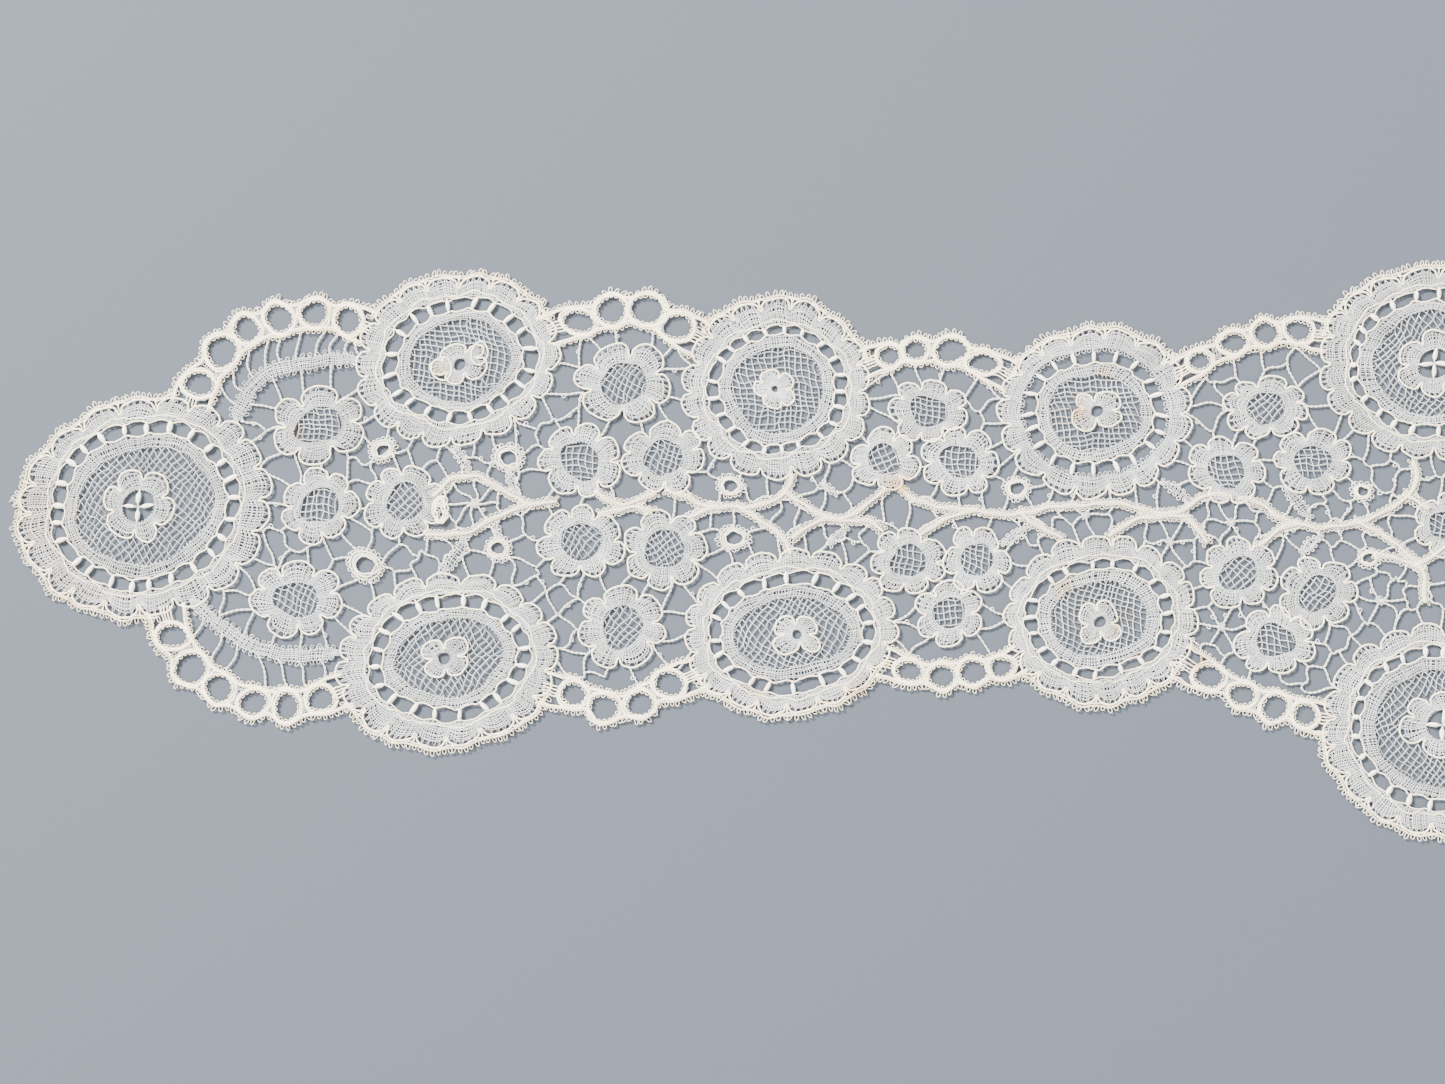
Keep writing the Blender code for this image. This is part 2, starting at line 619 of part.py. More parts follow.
def ground_loops():
    """The ground before its gaps are cut: all that lies between the motifs, less small pockets."""
    motifs = medallion_bounds(SEAM) + flower_bounds(SEAM) + ring_bounds(SEAM) + all_band_bounds(SEAM)
    motifs += [ribbon(route, ARC_HALF + SEAM, SEAM) for route in ARC_BANDS]
    for stem in STEMS:
        motifs += [loops[0] for loops in stem_fields(stem, SEAM, RIM + SEAM)]
    return merge([ground_edge()], motifs)[0]


def make_ground():
    loops = ground_loops()
    sheet("plait_ground", loops + gaps_in(loops), GROUND_PLACE, PLAIT_WHITE)


def make_heading():
    outline = heading_outline()
    sheet("heading", [outline], tuple(outline.mean(axis=0)), CLOTH_WHITE)


def drawing_middle():
    """The middle of the whole lappet on the drawing, which becomes the origin."""
    points = np.vstack([*map(medallion_outline, MEDALLIONS), heading_outline()])
    return (points.min(axis=0) + points.max(axis=0)) / 2


for old in list(bpy.data.objects):
    bpy.data.objects.remove(old)
parts = bpy.data.collections.new("bobbin_lace_lappet")
cutters = bpy.data.collections.new("cutters")
bpy.context.scene.collection.children.link(parts)
bpy.context.scene.collection.children.link(cutters)
MIDDLE = drawing_middle()

make_medallions()
make_small_rings()
make_flowers()
make_edge_bands()
make_arc_bands()
make_stems()
make_ground()
make_heading()
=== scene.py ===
"""The finished look of a bobbin lace lappet, thread by thread, lying flat on a pale table.

Sizes and places are in millimetres, on the drawing that the solids follow: x runs from the drawing's left
edge, and y runs up from the lappet's own axis. A Threads object gathers the tubes of one piece and makes them
one mesh, in metres, where the solids lie.
"""

import math
from collections import namedtuple
from functools import partial, reduce

import bpy
import numpy as np
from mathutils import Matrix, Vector, geometry


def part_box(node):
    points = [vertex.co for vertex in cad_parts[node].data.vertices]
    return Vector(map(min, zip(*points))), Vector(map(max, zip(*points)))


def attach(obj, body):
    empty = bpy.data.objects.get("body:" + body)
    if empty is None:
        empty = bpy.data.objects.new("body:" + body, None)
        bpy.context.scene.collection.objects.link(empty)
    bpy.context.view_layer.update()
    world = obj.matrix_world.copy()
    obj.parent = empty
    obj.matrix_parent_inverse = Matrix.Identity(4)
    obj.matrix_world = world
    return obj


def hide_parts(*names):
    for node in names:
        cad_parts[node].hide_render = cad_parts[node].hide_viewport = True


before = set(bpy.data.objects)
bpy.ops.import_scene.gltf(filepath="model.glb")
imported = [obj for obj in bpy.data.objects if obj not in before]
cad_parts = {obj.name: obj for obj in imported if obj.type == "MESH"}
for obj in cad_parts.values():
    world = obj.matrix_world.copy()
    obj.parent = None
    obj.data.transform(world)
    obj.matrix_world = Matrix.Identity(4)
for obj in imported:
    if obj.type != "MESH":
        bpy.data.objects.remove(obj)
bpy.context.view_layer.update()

MM = 0.001
TAU = math.tau
UP = np.array((0.0, 0.0, 1.0))
TINY = 1e-9

# The random seeds: one for the lappet, and what each kind of piece adds to it before its number.
SEED = 1880
SEEDS = {"medallion": 0, "flower": 100, "edge_band": 200, "arc_band": 300, "small_ring": 400, "stem": 500,
         "plait_ground": 600, "heading": 700}

# Half the thickness of each kind of thread.
CLOTH_THREAD = 0.13
NET_THREAD = 0.12
PICOT_THREAD = 0.115
PLAIT_STRAND = 0.12
STEM_STRAND = 0.19
TAIL_THREAD = 0.1

# The weave: rows of the weaver, how far it rises over each passive, and the heights that threads lie at.
ROW = 0.47
WEAVE = 0.12
NET_HEIGHT = 0.22
PLAIT_HEIGHT = 0.32
CLOTH_HEIGHT = 0.36
GIMP_HEIGHT = 0.46
STEM_HEIGHT = 0.55
TALLY_HEIGHT = CLOTH_HEIGHT + 0.1
HEADING_HEIGHT = CLOTH_HEIGHT + 0.35

# Hand work: how far places are off, over long and short distances, and how far the lace lifts from the table,
# each with the lengths of its waves.
LONG_WAVER = 0.26
SHORT_WAVER = 0.10
Waver = namedtuple("Waver", "long bend short skew")
WAVER_X = Waver(2.3, 5.1, 0.83, 1.9)
WAVER_Y = Waver(2.5, 4.7, 0.77, -2.1)
LIFT = 0.12
LIFT_WAVES = (8.7, 6.9, 7.9, 31.0)

# How far the cloth's passives crowd and its rows shift, as shares of their spacing, and how many points of a
# thread share about a tone.
CROWDING = 0.26
ROW_SHIFT = 0.17
TONE_LENGTH = 9

# Cloth stitch: how many passives it has, and how far they keep from its two edges, as shares of its width.
Weave = namedtuple("Weave", "passives inner outer", defaults=(0.06, 0.19))
WEAVES = {
    "medallion": Weave(10), "flower": Weave(8), "wide centre": Weave(7), "small centre": Weave(6),
    "inner ring": Weave(5, 0.16, 0.16), "eyelet": Weave(3, 0.15, 0.12), "post": Weave(3, 0.05, 0.05),
    "arc band": Weave(6, 0.1, 0.1), "small ring": Weave(3, 0.15, 0.15), "stem": Weave(3, 0.06, 0.06),
    "spider": Weave(2, 0.1, 0.2), "bar": Weave(3, 0.1, 0.1), "heading": Weave(10, 0.03, 0.03),
}

# Gimps and other cords: half their thickness, how far they wander, and the height they lie at.
Gimp = namedtuple("Gimp", "radius wander height", defaults=(0.04, GIMP_HEIGHT))
GIMPS = {
    "outline": Gimp(0.2), "window": Gimp(0.14), "loose": Gimp(0.14, 0.1), "inner ring": Gimp(0.17),
    "curl": Gimp(0.17, 0.04, GIMP_HEIGHT + 0.1), "braid": Gimp(0.13, 0.12), "notch": Gimp(0.12),
    "eyelet": Gimp(0.2, 0.1), "eyelet rim": Gimp(0.23, 0.1), "edge band": Gimp(0.24, 0.08),
    "link": Gimp(0.15), "small ring": Gimp(0.15, 0.12), "small rim": Gimp(0.12, 0.12),
    "loop": Gimp(0.16, 0.12, STEM_HEIGHT), "loop's middle": Gimp(0.19, 0.12, STEM_HEIGHT),
    "heading": Gimp(0.2, 0.04, GIMP_HEIGHT + 0.3),
}

# Cords side by side: how far outside an oval each lies, or for small rings its share of the way to the rim.
Cord = namedtuple("Cord", "place gimp")
EYELET_CORDS = [Cord(0.7, "eyelet"), Cord(1.08, "eyelet rim")]
SMALL_RING_CORDS = [Cord(0.08, "small ring"), Cord(0.4, "small ring"), Cord(0.8, "small rim")]
STEM_LOOP_CORDS = [Cord(-0.3, "loop"), Cord(0.05, "loop's middle"), Cord(0.4, "loop")]

# Rows of picots: how far apart and how long they are, of which thread, and the height they lie at.
Picots = namedtuple("Picots", "spacing length finish height", defaults=("gimp", PLAIT_HEIGHT))
PICOTS = {
    "medallion": Picots(1.15, 1.15), "window": Picots(1.1, 0.8, "cloth"), "stem": Picots(1.0, 0.55),
    "eyelet": Picots(1.1, 0.6, "gimp", GIMP_HEIGHT), "outer side": Picots(1.1, 1.1),
    "inner side": Picots(1.1, 0.8), "arc band": Picots(1.4, 0.75, "cloth"),
    "small ring": Picots(0.9, 0.75, "plait"), "bar": Picots(1.1, 0.6, "plait"),
    "plait": Picots(None, 0.8, "plait"),
}

# How far the heading at the cut end reaches, across and up.
HEADING_X = (311.2, 315.2)
HEADING_Y = (-48.4, 33.0)

# Each medallion's middle, half sizes and tilt, the middle of its inner curves, and the half sizes of its
# windows' outer curve, its inner ring and its net. Then its centre flower, how many scallops and tallies it
# has, and how its net is turned. Picots stand along the windows of one, in place of gimps.
Medallion = namedtuple(
    "Medallion",
    "x y rx ry tilt in_x in_y window_rx window_ry ring_rx ring_ry net_rx net_ry"
    " flower_x flower_y flower_rx flower_ry petals hole scallops tallies net_turn picoted",
)
MEDALLIONS = [Medallion(*row) for row in (
    (29.3, 0.5, 25.6, 21.7, 18, 29.2, 0.9, 19.2, 17.0, 16.4, 14.2, 13.8, 11.2,
     28.0, 1.4, 7.4, 7.3, 6, 3.1, 20, 25, 0, False),
    (91.4, 29.8, 20.4, 17.1, 10, 92.0, 29.8, 15.8, 12.5, 12.5, 9.9, 9.8, 8.2,
     92.0, 29.2, 5.5, 4.2, 5, 1.2, 18, 20, 40, False),
    (89.5, -30.1, 22.1, 17.5, 8, 90.0, -29.6, 16.4, 12.8, 13.4, 9.9, 10.4, 7.6,
     89.3, -29.4, 4.9, 4.7, 4, 1.2, 19, 20, 0, False),
    (155.4, 24.1, 19.1, 18.0, 0, 155.6, 24.0, 14.2, 12.9, 11.5, 11.0, 9.0, 8.3,
     155.1, 24.3, 4.3, 4.0, 5, 0.7, 18, 21, 45, False),
    (158.0, -24.2, 21.4, 16.4, 5, 158.2, -24.6, 16.8, 12.3, 14.2, 9.5, 11.4, 6.7,
     159.1, -25.2, 5.0, 4.4, 4, 1.0, 19, 20, 10, False),
    (219.0, 19.3, 19.4, 17.1, 0, 218.9, 19.4, 14.8, 12.8, 11.7, 10.0, 9.1, 7.4,
     219.1, 20.0, 5.4, 4.4, 4, 1.2, 17, 20, 52, True),
    (220.2, -21.8, 19.5, 16.8, 6, 219.9, -21.6, 15.2, 12.0, 12.5, 9.9, 9.6, 6.9,
     219.6, -22.6, 4.6, 4.7, 4, 1.2, 18, 19, 30, False),
    (287.2, 29.2, 23.6, 19.2, 0, 287.2, 29.2, 17.6, 15.0, 15.8, 12.4, 12.2, 10.4,
     286.8, 29.0, 7.4, 6.8, 6, 3.0, 20, 24, 0, False),
    (288.6, -44.2, 24.4, 21.2, -14, 288.2, -44.0, 18.4, 16.6, 16.4, 14.0, 13.2, 11.3,
     288.2, -43.2, 8.8, 6.6, 6, 3.0, 21, 25, 0, False),
)]
# The place in this list of the upper one of the two medallions at the cut end.
UPPER_END = 7

# One half of a lobe's edge: how far across the lobe, and how far it draws in as a share of the lobe's depth.
Stop = namedtuple("Stop", "across inward")
LOBE = [Stop(*row) for row in (
    (0.0, 1.0), (0.028, 0.96), (0.048, 0.85), (0.054, 0.73), (0.065, 0.6), (0.09, 0.47), (0.13, 0.35),
    (0.18, 0.25), (0.235, 0.165), (0.3, 0.09), (0.37, 0.035), (0.44, 0.006), (0.5, 0.0),
)]
# How deep a lobe is as a share of its width, how uneven lobes are, how far they wander, and the rows of the
# weaver in each one.
LOBE_DEPTH = 0.34
LOBE_UNEVEN = (0.2, 0.15)
LOBE_WANDER = (0.42, 0.35)
LOBE_ROWS = 12

# How far the cloth stays inside its outline, and how far a net reaches under the cloth around it and under a
# medallion's centre flower. A net's meshes are this wide and tall, and its threads bend and ripple in waves.
CLOTH_MARGIN = 0.1
NET_UNDER_CLOTH = 0.8
NET_UNDER_CENTRE = 1.2
MEDALLION_MESH = (1.55, 1.85)
FLOWER_MESH = (1.6, 1.8)
FLOWER_NET_TURNS = (0, 12, -14, 24, 45)
BEND_WAVES = (2.6, 2.9)
RIPPLE_WAVES = (1.9, 1.6)

# Where along a tally its widths are, and half its greatest width, which grows with the windows' size.
TALLY_STOPS = np.array((0.0, 0.17, 0.33, 0.5, 0.67, 0.83, 1.0))
TALLY_HALF = 0.1
TALLY_SHARE = 0.025

# A centre flower with a hole wider than this has four tallies across it.
WIDE_HOLE = 2.0

# The braid outside the medallions' scallops, which follows them less deeply and is tied in at their notches.
EDGE_OUT = 0.6
BRAID_DEPTH = 0.22

Flower = namedtuple("Flower", "x y rx ry petals turn")
FLOWERS = [Flower(*row) for row in (
    (63.7, 16.9, 9.5, 7.9, 6, 0), (59.5, -17.8, 9.4, 7.6, 7, 10), (64.0, 0.8, 7.6, 7.6, 7, 24),
    (81.0, 1.4, 8.2, 7.4, 8, 0), (124.9, 25.3, 9.6, 8.5, 6, 20), (116.2, 9.8, 8.4, 7.4, 7, 0),
    (132.8, 10.4, 8.6, 7.0, 7, 16), (116.3, -6.5, 8.8, 7.4, 7, 8), (133.0, -8.0, 8.5, 8.0, 7, 30),
    (124.4, -23.4, 9.0, 8.4, 7, 12), (185.5, 19.9, 8.0, 6.4, 7, 0), (177.0, 9.9, 7.0, 6.3, 6, 12),
    (192.0, 9.5, 7.8, 7.1, 7, 24), (181.5, -10.3, 7.5, 6.8, 7, 6), (195.2, -10.1, 7.0, 6.6, 6, 30),
    (189.8, -20.8, 6.9, 6.8, 6, 0), (253.0, 20.4, 8.4, 6.5, 8, 10), (245.2, 8.0, 7.9, 6.7, 7, 20),
    (262.6, 9.7, 8.1, 6.7, 7, 0), (247.7, -12.6, 8.1, 7.0, 7, 14), (263.5, -16.6, 7.8, 7.5, 7, 28),
    (254.9, -26.2, 8.0, 7.0, 7, 4), (289.4, -3.4, 6.8, 6.6, 7, 18),
)]
# A flower's core, as a share of its half sizes, and how far it bulges.
CORE_SHARE = 0.47
CORE_BULGE = (0.07, 0.05)

# Each edge band runs from its first to its last medallion, given by their places in the list above.
Band = namedtuple("Band", "first last eyelets")
Eyelet = namedtuple("Eyelet", "x y rx ry")
EDGE_BANDS = [Band(first, last, [Eyelet(*row) for row in rows]) for first, last, *rows in (
    (0, 1, (40.1, 25.1, 2.6, 2.0), (44.3, 31.7, 2.6, 2.7), (49.4, 35.9, 2.0, 2.2), (56.0, 38.5, 2.3, 2.3),
     (63.2, 39.1, 2.3, 2.1), (70.0, 38.0, 2.1, 2.2)),
    (1, 3, (115.8, 37.6, 2.6, 1.7), (122.5, 40.0, 2.5, 2.4), (129.7, 39.8, 3.1, 2.3),
     (135.6, 36.8, 2.8, 2.0)),
    (3, 5, (177.8, 30.6, 1.9, 1.5), (182.9, 32.2, 2.0, 1.5), (190.1, 31.7, 2.6, 2.0),
     (196.4, 29.4, 2.6, 1.5)),
    (5, 7, (239.8, 29.5, 1.9, 1.3), (246.3, 33.6, 2.3, 1.5), (252.9, 35.1, 2.2, 1.8),
     (259.7, 36.0, 2.3, 1.7)),
    (8, 6, (260.7, -40.9, 1.8, 1.8), (254.7, -39.6, 2.2, 2.2), (248.1, -36.8, 2.2, 1.7),
     (241.9, -33.5, 2.5, 1.8)),
    (6, 4, (200.3, -31.3, 1.9, 1.5), (194.9, -32.6, 2.3, 2.0), (188.5, -33.2, 2.4, 1.7),
     (182.0, -32.2, 2.1, 1.7)),
    (4, 2, (134.1, -34.9, 2.6, 2.0), (127.8, -38.7, 2.4, 2.0), (120.7, -39.5, 2.5, 2.1),
     (114.6, -37.0, 2.1, 1.8)),
    (2, 0, (64.1, -37.7, 2.3, 2.0), (57.4, -39.2, 1.9, 2.4), (50.6, -38.7, 2.4, 2.0),
     (44.1, -35.5, 2.2, 2.4), (38.4, -31.8, 2.7, 2.8), (34.5, -25.4, 2.6, 1.9)),
)]
EYELETS = [eyelet for band in EDGE_BANDS for eyelet in band.eyelets]

# How far an eyelet's rim reaches, where its cloth lies, and how far the bands' posts, cords and plaits lie
# outside the eyelets. The sides dip in between the eyelets, and run on into the medallions.
EYELET_RIM = 1.75
EYELET_CLOTH = (0.55, 1.35)
POST_SPREAD = 1.15
CORD_SPREAD = 1.0
PLAIT_SPREAD = 1.4
OUTER_DIP = 1.2
INNER_DIP = 0.8

# How the threads that link an eyelet's rim to its medallion lie side by side.
LINK_OFFSETS = (-1.0, -0.35, 0.3, 0.95)

# Each arc band lies inside an edge band, and plaits join them.
ArcBand = namedtuple("ArcBand", "band leg_spacing route")
ARC_BANDS = [
    ArcBand(EDGE_BANDS[0], 3.0, [(46.6, 17.4), (48.0, 20.2), (50.8, 24.8), (54.0, 27.2), (58.4, 29.0),
                                 (65.4, 29.8), (71.6, 30.2)]),
    ArcBand(EDGE_BANDS[-1], 4.2, [(38.6, -17.6), (40.8, -19.6), (43.8, -22.6), (48.2, -26.2), (51.9, -27.8),
                                  (58.2, -28.8), (67.8, -28.8)]),
]
# Half their width, and how far out along a leg is looked for what it meets.
ARC_HALF = 1.3
LEG_REACH = np.arange(1.0, 14, 0.2)[:, None]

Ring = namedtuple("Ring", "x y rx ry hole")
SMALL_RINGS = [Ring(*row) for row in (
    (76.7, 12.1, 2.8, 2.6, 1.0), (101.9, 10.5, 3.2, 2.8, 1.3), (73.0, -11.0, 3.6, 3.4, 1.5),
    (99.8, -8.0, 2.7, 2.6, 1.1), (146.8, -5.8, 3.2, 2.5, 1.2), (145.9, 4.7, 2.8, 2.3, 1.1),
    (203.3, 4.2, 2.7, 2.3, 1.1), (272.1, 3.6, 2.3, 2.0, 0.9), (273.4, -9.9, 2.2, 2.0, 0.9),
)]

# The stem's braids, each a group of branches that grow together.
STEMS = [
    [[(87.2, 3.6), (89.4, 5.9), (91.9, 6.5), (95.6, 6.4), (98.6, 4.9), (103.0, 2.7), (105.9, 1.4),
      (110.4, 1.6)],
     [(86.0, -5.2), (90.0, -4.8), (94.8, -4.0), (98.6, -2.1), (101.5, -0.6), (105.0, 1.2)]],
    [[(119.7, 3.6), (121.2, 2.6), (123.3, 1.5), (125.9, 1.2), (128.4, 2.1), (130.2, 3.0)],
     [(120.8, -0.4), (123.3, 0.0), (125.9, 0.5), (127.9, 0.2), (129.7, -0.3)]],
    [[(133.8, 3.8), (136.8, 3.0), (139.4, 1.5), (141.9, 0.5), (145.6, 0.4), (150.3, 0.7), (153.9, 1.9),
      (156.7, 3.1), (158.0, 6.0)],
     [(138.1, -1.0), (140.1, -0.3), (142.8, 0.4)],
     [(148.1, 0.4), (151.3, -1.3), (154.8, -3.6), (157.0, -5.8), (157.7, -8.0)],
     [(159.2, -5.2), (163.1, -2.8), (166.3, -1.8), (169.8, -2.0), (173.6, -2.1), (176.2, -3.9)],
     [(157.0, 3.4), (160.2, 1.2), (163.7, -0.9), (166.3, -1.5), (169.2, -1.2), (172.0, 0.3), (176.2, 3.3)]],
    [[(180.2, 4.4), (182.0, 2.8), (185.0, 1.7), (188.7, 0.4), (192.8, -0.2), (202.1, -0.7), (207.0, -0.4),
      (210.7, 0.6), (214.4, 1.0), (218.6, 1.2), (222.3, 1.1), (225.4, 0.8), (229.7, -0.2), (234.2, -0.4),
      (237.0, 0.2), (239.8, 2.2), (242.6, 3.3), (244.6, 3.0)],
     [(184.7, -4.4), (186.6, -3.1), (190.4, -1.5), (194.6, -0.4)],
     [(204.0, -0.6), (207.5, -3.1), (211.8, -5.5)],
     [(222.5, -4.9), (224.9, -3.4), (228.0, -1.8), (231.7, -1.1), (236.3, -1.2), (239.0, -3.1),
      (240.9, -6.2)]],
    [[(248.2, 2.4), (250.5, 1.9), (253.3, 0.2), (255.0, -1.3), (258.2, -2.6), (263.2, -3.3), (266.8, -3.1),
      (272.2, -2.7), (277.2, 0.0), (281.4, 3.0), (283.0, 6.1), (282.6, 8.8)],
     [(252.6, -6.3), (255.2, -4.6), (259.0, -2.9)],
     [(271.6, -2.7), (276.4, -5.0), (280.2, -7.7), (283.7, -11.0), (284.9, -14.8), (284.9, -18.0)],
     [(275.3, -9.1), (280.6, -9.9), (283.8, -11.6)],
     [(281.0, 3.0), (285.2, 0.4)],
     [(283.2, -10.8), (288.3, -8.0)]],
]
STEM_MARGIN = 0.6

# A wound loop where the stem starts, loops of gimp around two petals of the second medallion's flower, and
# loose threads' ends at the lappet's tip.
STEM_LOOP = Ring(88.3, 0.2, 1.2, 2.5, 0)
CURLS = [Ring(88.6, 28.3, 2.0, 2.5, 0), Ring(95.8, 31.1, 1.6, 2.2, 0)]
TIP_ENDS = [
    [(4.8, 1.5), (3.6, 1.2), (2.6, 1.9), (1.6, 1.3)],
    [(4.9, 0.9), (3.9, 1.6), (2.9, 1.2), (2.1, 2.2)],
    [(4.7, 2.0), (3.7, 1.9), (3.1, 1.0), (2.3, 0.6)],
]

# Short bars of cloth stitch with picots, which grow out of the stem.
BARS = [
    [(91.2, 13.0), (94.2, 7.0)], [(102.0, 8.0), (103.4, 3.2)], [(99.4, -2.6), (99.8, -5.6)],
    [(88.4, -12.8), (93.4, -5.2)], [(164.6, 5.6), (167.2, 3.4)], [(166.2, -7.0), (169.4, -3.4)],
    [(200.6, -6.6), (205.6, -3.4)], [(232.6, 5.8), (237.6, 1.6)], [(256.6, 4.4), (262.0, -1.4)],
    [(260.2, -8.8), (264.2, -4.8)],
]
BAR_HALF = 0.85

# Small woven spots in the ground whose legs spread like a spider's, and their cloth's hub and rim.
SPIDER_CLOTH = (0.25, 0.9)
Spider = namedtuple("Spider", "x y legs reach")
SPIDERS = [Spider(*row) for row in (
    (94.8, 1.2, 8, 2.6), (234.1, -6.1, 6, 3.0), (246.2, -2.3, 6, 2.6), (243.9, -23.2, 6, 3.0),
    (276.2, -17.9, 6, 3.0), (217.3, -0.9, 5, 2.4),
)]

# The ground: how far apart its meshes are, how far they keep from the motifs, and how far its plaits run into
# each kind of piece. Two strands make a turn in each length of the twist.
TWIST = 1.9
OVERLAPS = {"motif": 0.7, "notch": 0.15, "small ring": 0.5, "eyelet": 0.4, "arc band": 0.3, "bar": 0.5}
MESH_PITCH = 3.6
MESH_CLEARANCE = 1.0
STEM_ROOM = 0.3

# Where the thread has yellowed or rusted.
Stain = namedtuple("Stain", "x y reach strength")
STAINS = [Stain(*row) for row in (
    (60.2, 15.6, 1.4, 1.0), (179.4, 5.0, 2.4, 1.0), (215.0, 19.6, 2.2, 0.9), (87.8, 28.0, 1.6, 0.5),
    (221.0, 27.4, 1.5, 0.7), (171.6, -36.4, 2.6, 0.8), (151.0, -35.4, 1.9, 0.7), (212.6, -15.2, 2.2, 0.8),
    (196.2, -3.0, 1.7, 0.7), (225.8, -21.4, 1.7, 0.6), (222.8, -23.6, 1.4, 0.6), (240.0, -30.4, 2.2, 0.9),
    (5.5, -3.0, 9.0, 0.32), (14.0, -17.0, 8.0, 0.22), (34.0, -27.0, 7.0, 0.16), (66.0, 38.0, 9.0, 0.14),
    (251.0, 35.0, 9.0, 0.16), (195.0, -33.0, 9.0, 0.14),
)]
RUST = (0.6, 0.34, 0.09, 1.0)

# The look of each kind of thread: its lightest and deepest colours, and how fast its two plies turn, in
# radians a millimetre.
Look = namedtuple("Look", "name light deep twist")
LOOKS = {
    "cloth": Look("cloth_thread", (0.65, 0.645, 0.635, 1), (0.37, 0.365, 0.355, 1), 14.0),
    "gimp": Look("gimp_thread", (0.97, 0.865, 0.67, 1), (0.90, 0.77, 0.54, 1), 7.0),
    "plait": Look("plait_thread", (0.94, 0.89, 0.78, 1), (0.84, 0.78, 0.66, 1), 12.0),
    "leaf": Look("tally_thread", (0.96, 0.90, 0.78, 1), (0.90, 0.83, 0.68, 1), 16.0),
}
FINISHES = tuple(LOOKS)
THREAD_SURFACE = {"Roughness": 0.75, "Specular IOR Level": 0.3, "Sheen Weight": 0.25, "Sheen Roughness": 0.4}

# The table, the lamps and the world, with places in metres.
TABLE_TONES = ((0.070, 0.080, 0.095, 1), (0.076, 0.086, 0.102, 1))
TABLE_SURFACE = {"Roughness": 0.95, "Specular IOR Level": 0.15}
Lamp = namedtuple("Lamp", "name place size watts")
LAMPS = [Lamp("key", (-0.90, 0.90, 1.00), 0.42, 178.0), Lamp("fill", (0.70, -0.40, 1.10), 0.90, 19.0)]
WORLD_TINT = (0.97, 0.985, 1.0, 1)
WORLD_STRENGTH = 1.22

# The photo's own view, straight down on a patch of the drawing from a height in metres.
PHOTO_WIDTH = 289.0
PHOTO_MIDDLE = (144.5, -6.4)
CAMERA_HEIGHT = 0.45
SENSOR = 36.0

heading_low, heading_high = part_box("heading")
HEADING_MIDDLE = np.array((sum(HEADING_X), sum(HEADING_Y))) / 2
MIDDLE = HEADING_MIDDLE - np.array((heading_low + heading_high)[:2]) / 2 / MM


def grown(motif, by):
    """A motif's middle, and its half sizes with this added."""
    return motif.x, motif.y, motif.rx + by, motif.ry + by


def ellipse(x, y, rx, ry, angles):
    return np.column_stack((x + rx * np.cos(angles), y + ry * np.sin(angles)))


def turned(points, degrees, middle):
    angle = math.radians(degrees)
    across, up = (np.asarray(points) - middle).T
    x = across * math.cos(angle) - up * math.sin(angle)
    y = across * math.sin(angle) + up * math.cos(angle)
    return np.column_stack((x, y)) + middle


def tilted(points, m):
    """Points of a medallion's own outlines, turned by its tilt."""
    return turned(points, m.tilt, np.array((m.x, m.y)))


def beyond(points, x, y, rx, ry, tilt=0.0):
    """About how far points lie outside an ellipse, in millimetres, and less than 0 inside it."""
    across, up = (turned(points, -tilt, np.array((x, y))) - (x, y)).T
    share = np.sqrt((across / rx) ** 2 + (up / ry) ** 2)
    return (share - 1) * np.hypot(across, up) / np.maximum(share, TINY)


def beyond_route(points, route):
    """How far points lie from a route."""
    route = np.asarray(route, float)
    nearest = np.full(len(points), np.inf)
    for a, b in zip(route, route[1:]):
        along = b - a
        share = np.clip((points - a) @ along / max(along @ along, TINY), 0, 1)
        nearest = np.minimum(nearest, np.linalg.norm(points - a - share[:, None] * along, axis=1))
    return nearest


def inside(points, loop):
    """Which points lie inside a closed loop."""
    odd = np.zeros(len(points), bool)
    for (ax, ay), (bx, by) in zip(loop, np.roll(loop, -1, axis=0)):
        if ay != by:
            crossing = (points[:, 1] > min(ay, by)) & (points[:, 1] <= max(ay, by))
            odd ^= crossing & (points[:, 0] < ax + (points[:, 1] - ay) * (bx - ax) / (by - ay))
    return odd


def distances(line):
    """How far along a line each of its points lies."""
    return np.concatenate(([0.0], np.cumsum(np.linalg.norm(np.diff(line, axis=0), axis=1))))


def spaced(line, step, closed=False):
    """Points along a line, evenly spaced by about a step."""
    line = np.asarray(line, float)
    if closed:
        line = np.vstack((line, line[:1]))
    along = distances(line)
    count = max(2, round(along[-1] / step))
    stops = np.linspace(0, along[-1], count + 1)
    if closed:
        stops = stops[:-1]
    return np.column_stack([np.interp(stops, along, line[:, axis]) for axis in range(line.shape[1])])


def smooth(route, step):
    """A smooth curve through a route's points, evenly spaced."""
    route = np.asarray(route, float)
    ends = (2 * route[0] - route[1], 2 * route[-1] - route[-2])
    padded = np.vstack((ends[0], route, ends[1]))
    t = np.linspace(0, 1, 12, endpoint=False)[:, None]
    curve = []
    for a, b, c, d in zip(padded, padded[1:], padded[2:], padded[3:]):
        curve.append(0.5 * (2 * b + (c - a) * t + (2 * a - 5 * b + 4 * c - d) * t**2
                            + (3 * b - a - 3 * c + d) * t**3))
    return spaced(np.vstack((*curve, route[-1:])), step)


def longer(route, extra):
    """The route with its ends this much further out."""
    route = np.array(route, float)
    for end, neighbour in ((0, 1), (-1, -2)):
        along = route[end] - route[neighbour]
        route[end] += along / np.linalg.norm(along) * extra
    return route


def headings(line, closed=False):
    """Unit vectors along a line at each of its points."""
    steps = np.roll(line, -1, axis=0) - np.roll(line, 1, axis=0)
    if not closed:
        steps[0], steps[-1] = line[1] - line[0], line[-1] - line[-2]
    return steps / np.maximum(np.linalg.norm(steps, axis=1), TINY)[:, None]


